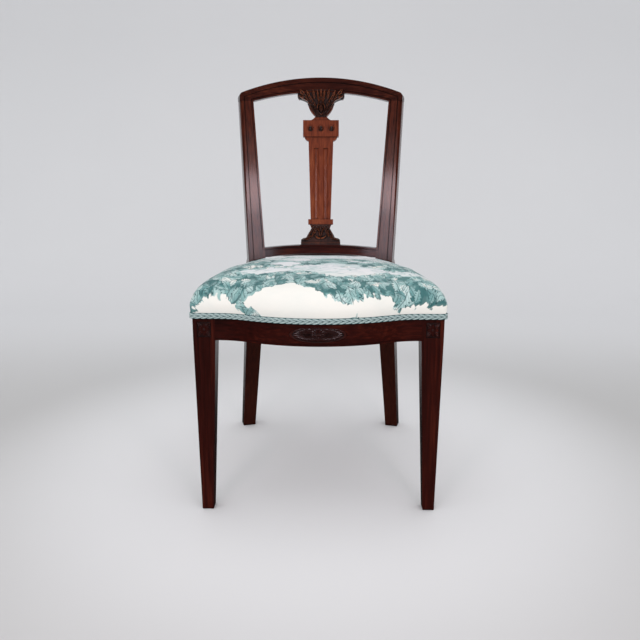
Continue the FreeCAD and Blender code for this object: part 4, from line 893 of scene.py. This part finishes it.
def smoothRings(points, rounds):
    # takes the facets of the CAD shape away; the walls stay as upright as their frame
    walls = points[:seat["wallRings"] - 2].copy()
    for _ in range(rounds):
        inner = points.copy()
        inner[1:-1] = (points[:-2] + 2 * points[1:-1] + points[2:]) / 4
        points = (np.roll(inner, 1, axis=1) + 2 * inner + np.roll(inner, -1, axis=1)) / 4
    share = np.linspace(0, 1, len(walls))[:, None, None] ** 3
    points[:len(walls)] = walls * (1 - share) + points[:len(walls)] * share
    return points


def band(values, low, high):
    # 0 under low, 1 over high
    return np.clip((values - low) / (high - low), 0, 1)


def softBand(values, low, high):
    share = band(values, low, high)
    return share * share * (3 - 2 * share)


def ridge(x, place, wide):
    # the same on both sides of the chair
    return np.exp(-((np.abs(x) - place) / wide) ** 2)


def settled(cushion):
    # the pad sits lower towards the back and fuller over the side rails
    stuffing = surfaceOf("seat_stuffing")
    x, y, z = spots(cushion.data).T
    middle = np.clip(1 - (x / sag["half"]) ** 2, 0, 1)
    high = band(z, seat["edge"], seat["edge"] + sag["high"])
    shoulder = ridge(x, *sag["over"]) * band(y, *sag["behind"])
    lower = z - high * (sag["depth"] * softBand(y, *sag["back"]) * middle
                        - sag["shoulder"] * shoulder)
    for vertex, height in zip(cushion.data.vertices, lower):
        under = stuffing.ray_cast(Vector((vertex.co.x, vertex.co.y, 1)), down)[0]
        if under is not None:
            height = max(height, under.z + seat["cover"])
        vertex.co.z = min(height, vertex.co.z + sag["shoulder"])
    cushion.data.update()


def pressedDown(mesh):
    # years of use have flattened the back half of the pad, most of all beside its middle
    points = spots(mesh)
    x, y, z = points.T
    high = band(z, seat["edge"], seat["edge"] + wear["high"])
    level = np.clip(1 - (x / wear["half"]) ** 4, 0, 1)
    points[:, 2] -= (high * softBand(y, *wear["back"])
                     * (wear["depth"] * level + wear["flank"] * ridge(x, *wear["over"])))
    moveTo(mesh, points)


def wornStuffing():
    # the horsehair has gone down with its cover
    mesh = merged("seat_stuffing")
    for _ in range(6):
        wide = [e for e in mesh.edges if e.calc_length() > wear["coarsest"]]
        bmesh.ops.subdivide_edges(mesh, edges=wide, cuts=1)
        bmesh.ops.triangulate(mesh, faces=mesh.faces)
    data = meshFrom(mesh, "StuffingWorn", materials["hair"])
    pressedDown(data)
    return keep(placed("seat_stuffing_worn", data), "horsehair", "seat_stuffing")


def seatCushion():
    points = smoothRings(seatSkin(), 3)
    rings, count = points.shape[:2]
    hub = points[-1].mean(0)
    flatPoints = np.vstack([points.reshape(-1, 3), hub])
    cushion = newObject("seat_cushion", flatPoints, ringFaces(rings, count), materials["cotton"])
    # the print lies flat on the top and runs on down the walls
    edge = points[seat["wallRings"]]
    uv = np.zeros((len(flatPoints), 2))
    uv[-1] = hub[:2]
    for k in range(rings):
        if k >= seat["wallRings"]:
            uv[k * count:(k + 1) * count] = points[k][:, :2]
        else:
            drop = np.linalg.norm(np.diff(points[k:seat["wallRings"] + 1], axis=0), axis=2).sum(0)
            outward = edge[:, :2] - np.array(seat["middle"])
            outward /= np.linalg.norm(outward, axis=1)[:, None]
            uv[k * count:(k + 1) * count] = edge[:, :2] + outward * drop[:, None]
    layer = cushion.data.uv_layers.new(name="Print")
    order = np.zeros(len(cushion.data.loops), dtype=int)
    cushion.data.loops.foreach_get("vertex_index", order)
    layer.data.foreach_set("uv", uv[order].ravel())
    return cushion


def stretched(cushion):
    # the cover is held at the rails and blown out against its own tension
    target = spots(cushion.data)
    outward = np.array([v.normal for v in cushion.data.vertices])
    hold = np.clip((seat["edge"] - stretch["held"] - target[:, 2]) / stretch["held"], 0, 1)
    middle = np.array([*seat["middle"], seat["edge"]])
    share = (1 - hold)[:, None] * (1 - stretch["slack"])
    start = target + (middle - target) * share
    cushion.data.vertices.foreach_set("co", start.ravel())
    tacked = cushion.vertex_groups.new(name="Tacked")
    for i, weight in enumerate(hold):
        if weight > 0:
            tacked.add([i], float(weight), "REPLACE")
    modifier = cushion.modifiers.new("Cloth", "CLOTH")
    for key, value in cotton.items():
        setattr(modifier.settings, key, value)
    modifier.settings.effector_weights.gravity = 0
    modifier.collision_settings.use_collision = False
    modifier.point_cache.frame_start, modifier.point_cache.frame_end = 1, stretch["frames"]
    scene = bpy.context.scene
    for step in range(1, stretch["frames"] + 1):
        scene.frame_set(step)
    blown = bpy.data.meshes.new_from_object(
        cushion.evaluated_get(bpy.context.evaluated_depsgraph_get()))
    found = spots(blown)
    scene.frame_set(1)
    cushion.modifiers.remove(modifier)
    cushion.vertex_groups.clear()
    # the stuffing takes up most of the stretch, and the cover can't sink into it
    moved = (found - target) * stretch["take"]
    inward = (moved * outward).sum(1)
    moved -= outward * np.minimum(inward, 0)[:, None]
    far = np.linalg.norm(moved, axis=1)
    print(f"cover moved at most {far.max() * 1000:.1f} mm, mean {far.mean() * 1000:.2f}")
    moved *= np.minimum(1, stretch["most"] / np.maximum(far, 1e-9))[:, None]
    moveTo(cushion.data, target + moved)


cushion = seatCushion()
stretched(cushion)
settled(cushion)
pressedDown(cushion.data)
wornStuffing()
keep(cushion, "printed_cotton", "seat_cover", "seat_wadding")
print("seat covered")


# Gimp: plaited cord glued along the cover's lower edge
gimp = dict(foot=0.4098, level=0.4155, top=0.4210, pitch=0.0124, overlap=1.50, cord=0.0021,
            bulge=0.0014, spread=0.0040, gather=0.0036, steps=9, around=7, look=1440,
            nearest=0.006, inset=0.0012, fewest=20, rounds=5, tape=0.0014)


def gimpCord():
    graph = Graph("GimpCord")
    twist = graph.noise(graph.place((700, 700, 900)), 1.0, 2.0, 0.5)
    colour = graph.ramp(twist, [(0.30, (0.23, 0.34, 0.335)), (0.62, (0.46, 0.575, 0.56))])
    # painted shade with dirt: the cord is darkened where the cords close in around it
    dirtAndShade = 1 - graph.openness(0.003).step(0.40, 0.90)
    colour = graph.mix(dirtAndShade, colour, (0.015, 0.075, 0.085))
    return graph.finish(colour, 0.62, graph.bump(twist, 0.0003, 0.7), Sheen_Weight=0.2)


materials["gimp"] = gimpCord()
materials["gimpGround"] = plain("GimpGround", (0.010, 0.055, 0.062), (0.035, 0.13, 0.135),
                                500, 0.9)


def gimpPath():
    # runs of points along the braid's face, broken where the stiles interrupt it
    skin, cover = surfaceOf("gimp_braid"), surfaceOf("seat_cover")
    middle = Vector((*seat["middle"], gimp["level"]))
    runs, run = [], []
    for i in range(gimp["look"] + 1):
        angle = math.tau * (i / gimp["look"] + 0.25)
        way = Vector((math.cos(angle), math.sin(angle), 0))
        face, inner = (s.ray_cast(middle + way * seat["outside"], -way)[0] for s in (skin, cover))
        near = face is not None and inner is not None
        near = near and (face - inner).length < gimp["nearest"] and (face - middle).dot(way) > 0
        if near:
            run.append(face - way * gimp["inset"])
        elif run:
            runs.append(run)
            run = []
    if run:
        runs.append(run)
    return [r for r in runs if len(r) > gimp["fewest"]]


def plaitUnit():
    # two short cords that lean together into a chevron; x runs along the braid
    points, faces = [], []
    steps, around = gimp["steps"], gimp["around"]
    for side in (-1, 1):
        start = len(points)
        for k in range(steps):
            t = k / (steps - 1)
            x = (t - 0.5) * gimp["pitch"] * gimp["overlap"]
            z = side * (gimp["spread"] - gimp["gather"] * (0.5 - 0.5 * math.cos(math.pi * t)))
            fat = math.sin(math.pi * (0.06 + 0.88 * t)) ** 0.6
            out = gimp["bulge"] * (1.35 - t * 1.1)
            for j in range(around):
                a = math.tau * j / around
                points.append((x, out + gimp["bulge"] * fat * math.cos(a),
                               z + gimp["cord"] * fat * math.sin(a)))
        faces += [(a, d, c, b) for a, b, c, d in gridFaces(steps, around, True, start)]
    unit = newObject("plait_unit", points, faces, materials["gimp"])
    return unit


def plaitTree(unit):
    # a straight plait, bent along the path by its length
    tree = bpy.data.node_groups.new("Plait", "GeometryNodeTree")
    face = tree.interface
    face.new_socket("Path", in_out="INPUT", socket_type="NodeSocketGeometry")
    pitch = face.new_socket("Pitch", in_out="INPUT", socket_type="NodeSocketFloat")
    face.new_socket("Geometry", in_out="OUTPUT", socket_type="NodeSocketGeometry")

    def add(kind, settings=None, **links):
        # links go by the socket's name, or by _ and its number
        made = tree.nodes.new(kind)
        for key, value in (settings or {}).items():
            setattr(made, key, value)
        for key, value in links.items():
            socket = made.inputs[int(key[1:]) if key[0] == "_" else key]
            if isinstance(value, bpy.types.NodeSocket):
                tree.links.new(value, socket)
            else:
                socket.default_value = value
        return made.outputs

    def maths(operation, kind="ShaderNodeMath", **links):
        return add(kind, {"operation": operation}, **links)[0]

    vector = "ShaderNodeVectorMath"
    start = add("NodeGroupInput")
    curve = add("GeometryNodeMeshToCurve", Mesh=start["Path"])["Curve"]
    length = add("GeometryNodeCurveLength", Curve=curve)["Length"]
    count = maths("FLOOR", _0=maths("DIVIDE", _0=length, _1=start["Pitch"]))
    step = add("ShaderNodeCombineXYZ", X=start["Pitch"])[0]
    line = add("GeometryNodeMeshLine", {"mode": "OFFSET"}, Count=count, Offset=step)["Mesh"]
    source = add("GeometryNodeObjectInfo", Object=unit)["Geometry"]
    cords = add("GeometryNodeInstanceOnPoints", Points=line, Instance=source)["Instances"]
    cords = add("GeometryNodeRealizeInstances", Geometry=cords)["Geometry"]
    where = add("ShaderNodeSeparateXYZ", Vector=add("GeometryNodeInputPosition")[0])
    half = maths("MULTIPLY", _0=start["Pitch"], _1=0.5)
    run = maths("ADD", _0=where["X"], _1=half)
    sample = add("GeometryNodeSampleCurve", {"mode": "LENGTH"}, Curves=curve, Length=run)
    outward = maths("CROSS_PRODUCT", vector, _0=sample["Tangent"], _1=(0, 0, 1))
    push = maths("SCALE", vector, _0=outward, Scale=where["Y"])
    rise = add("ShaderNodeCombineXYZ", Z=where["Z"])[0]
    spot = maths("ADD", vector, _0=maths("ADD", vector, _0=sample["Position"], _1=push), _1=rise)
    cords = add("GeometryNodeSetPosition", Geometry=cords, Position=spot)["Geometry"]
    cords = add("GeometryNodeSetMaterial", Geometry=cords, Material=materials["gimp"])[0]
    add("NodeGroupOutput", Geometry=cords)
    return tree, pitch.identifier


def eased(run):
    # a braid doesn't turn a dead sharp corner
    line = np.array(run)
    for _ in range(gimp["rounds"]):
        line[1:-1] = (line[:-2] + 2 * line[1:-1] + line[2:]) / 4
    return [Vector(p) for p in line]


def gimpTape(index, run):
    # tape that the cords are worked on, turned in at its edges
    centre = Vector((*seat["middle"], 0))
    points = []
    for height, depth in ((gimp["foot"], gimp["tape"]), (gimp["foot"], 0), (gimp["top"], 0),
                          (gimp["top"], gimp["tape"])):
        for p in run:
            inward = (centre - p).xy.normalized()
            points.append((p.x + inward.x * depth, p.y + inward.y * depth, height))
    tape = newObject(f"gimp_tape_{index}", points, gridFaces(4, len(run)),
                     materials["gimpGround"])
    keep(tape, "gimp", "gimp_braid")


def buildGimp():
    unit = plaitUnit()
    tree, pitch = plaitTree(unit)
    for index, run in enumerate(gimpPath(), start=1):
        run = eased(run)
        line = bpy.data.meshes.new("gimp_line")
        line.from_pydata([tuple(p) for p in run], [(i, i + 1) for i in range(len(run) - 1)], [])
        guide = placed("gimp_line", line)
        plait = guide.modifiers.new("Plait", "NODES")
        plait.node_group = tree
        plait[pitch] = gimp["pitch"]
        graph = bpy.context.evaluated_depsgraph_get()
        made = bpy.data.meshes.new_from_object(guide.evaluated_get(graph))
        made.polygons.foreach_set("use_smooth", [True] * len(made.polygons))
        keep(placed(f"gimp_plait_{index}", made), "gimp")
        bpy.data.objects.remove(guide)
        gimpTape(index, run)
    bpy.data.objects.remove(unit)


buildGimp()
print("gimp laid")


# Floor, light and camera: colours are pairs that a cloud mixes, or one colour
room = dict(floor=((0.530, 0.525, 0.515), (0.585, 0.58, 0.575)), litFloorPatch=(0.86, 0.86, 0.865),
            wall=((0.76, 0.76, 0.77), (0.80, 0.80, 0.805)), mirrored=(0.014, 0.012, 0.012),
            air=(0.80, 0.81, 0.83), mirroredAir=(0.010, 0.009, 0.010), strength=1.03,
            # the paler floor where the chair stands is a painted pool of light: its colour, place
            # and fade
            wallFrom=(0.2, 1.6), litFloorPatchAt=0.10, litFloorPatchFade=(0.02, 0.90),
            reach=12.0, back=3.2, high=6.0, bend=1.6)


def backdrop():
    graph = Graph("Backdrop")
    where = graph.node("ShaderNodeTexCoord", output="Object")
    cloud = graph.noise(where, 0.8, 3.0, 0.5)
    x, y, _ = graph.split(where)
    behind = y.step(*room["wallFrom"])
    near = graph.mix(cloud, *room["floor"])
    # a painted pool of light: the floor is painted paler where the chair stands
    away = y - room["litFloorPatchAt"]
    litFloorPatch = 1 - (x * x + away * away).step(*room["litFloorPatchFade"])
    near = graph.mix(litFloorPatch, near, room["litFloorPatch"])
    colour = graph.mix(behind, near, graph.mix(cloud, *room["wall"]))
    # polished wood mirrors the wall but not the floor before it
    mirrored = graph.node("ShaderNodeLightPath", output="Is Glossy Ray")
    colour = graph.mix(mirrored * (1 - behind), colour, room["mirrored"])
    return graph.finish(colour, 0.85)


def sweep():
    # floor running up into a wall behind
    reach, back, high, bend = (room[key] for key in ("reach", "back", "high", "bend"))
    line = [(-reach, 0.0), (back - bend, 0.0)]
    line += [(back - bend + bend * math.sin(t), bend - bend * math.cos(t))
             for t in np.linspace(0.1, math.pi / 2, 14)]
    line += [(back, high)]
    points = [(x, y, z) for y, z in line for x in (-reach, reach)]
    newObject("floor_sweep", points, gridFaces(len(line), 2), backdrop())


sweep()


def areaLight(name, place, target, size, power, tint=(1, 1, 1), matt=False):
    lamp = bpy.data.lights.new(name, "AREA")
    lamp.shape = "RECTANGLE"
    lamp.size, lamp.size_y = size
    lamp.energy = power
    lamp.color = tint
    made = placed(name, lamp)
    made.location = place
    made.visible_glossy = not matt
    made.rotation_euler = (Vector(target) - Vector(place)).to_track_quat("-Z", "Y").to_euler()


softBoxes = dict(
    TopSoft=dict(place=(0.0, -0.2, 3.2), target=(0, 0, 0.4), size=(2.6, 2.2), power=12),
    FrontFill=dict(place=(0.0, -2.7, 0.80), target=(0, 0, 0.15), size=(3.2, 0.9), power=12,
                   matt=True))
for name, lamp in softBoxes.items():
    areaLight(name, **lamp)

# boxes beside the camera, placed so that the canted stiles mirror them: a bright
# one, and a fainter one above and below it; each is its height, size, power and tint
stileBoxes = dict(
    High=(1.30, 0.22, 0.15, (1.0, 0.74, 0.70)),
    Middle=(1.10, 0.20, 1.7, (1.0, 0.79, 0.84)),
    Low=(0.86, 0.28, 1.0, (0.92, 0.88, 1.0)))
boxes = dict(aside=0.67, front=-1.62, wide=0.30, aim=(0.19, 0.19, 0.62))
for name, (height, tall, power, tint) in stileBoxes.items():
    for side, word in ((-1, "Left"), (1, "Right")):
        aimX, aimY, aimZ = boxes["aim"]
        areaLight(name + word, (side * boxes["aside"], boxes["front"], height),
                  (-side * aimX, aimY, aimZ), (boxes["wide"], tall), power, tint)


def roomLight():
    # pale room for the eye and for matt surfaces, a dark one in polished wood
    world = bpy.data.worlds.new("Room")
    bpy.context.scene.world = world
    world.use_nodes = True
    tree = world.node_tree
    path = tree.nodes.new("ShaderNodeLightPath")
    mix = tree.nodes.new("ShaderNodeMix")
    mix.data_type = "RGBA"
    mix.inputs[6].default_value = (*room["air"], 1)
    mix.inputs[7].default_value = (*room["mirroredAir"], 1)
    tree.links.new(path.outputs["Is Glossy Ray"], mix.inputs[0])
    tree.links.new(mix.outputs[2], tree.nodes["Background"].inputs[0])
    tree.nodes["Background"].inputs[1].default_value = room["strength"]


roomLight()

# angles are in degrees: to the side, up from straight down, and the roll
view = dict(place=(0.0156, -1.4392, 0.6872), side=0.58, up=77.0, roll=0.115,
            lens=36.056, sensor=36.0, nearest=0.05)


def turnBy(angle, axis):
    return Matrix.Rotation(math.radians(angle), 3, axis)


lens = bpy.data.cameras.new("Camera")
lens.sensor_width = view["sensor"]
lens.lens = view["lens"]
lens.clip_start = view["nearest"]
camera = placed("Camera", lens)
camera.location = view["place"]
aim = turnBy(view["side"], "Z") @ turnBy(view["up"], "X") @ turnBy(view["roll"], "Z")
camera.rotation_euler = aim.to_euler()
bpy.context.scene.camera = camera
bpy.context.scene.view_settings.view_transform = "Standard"
print("room lit")
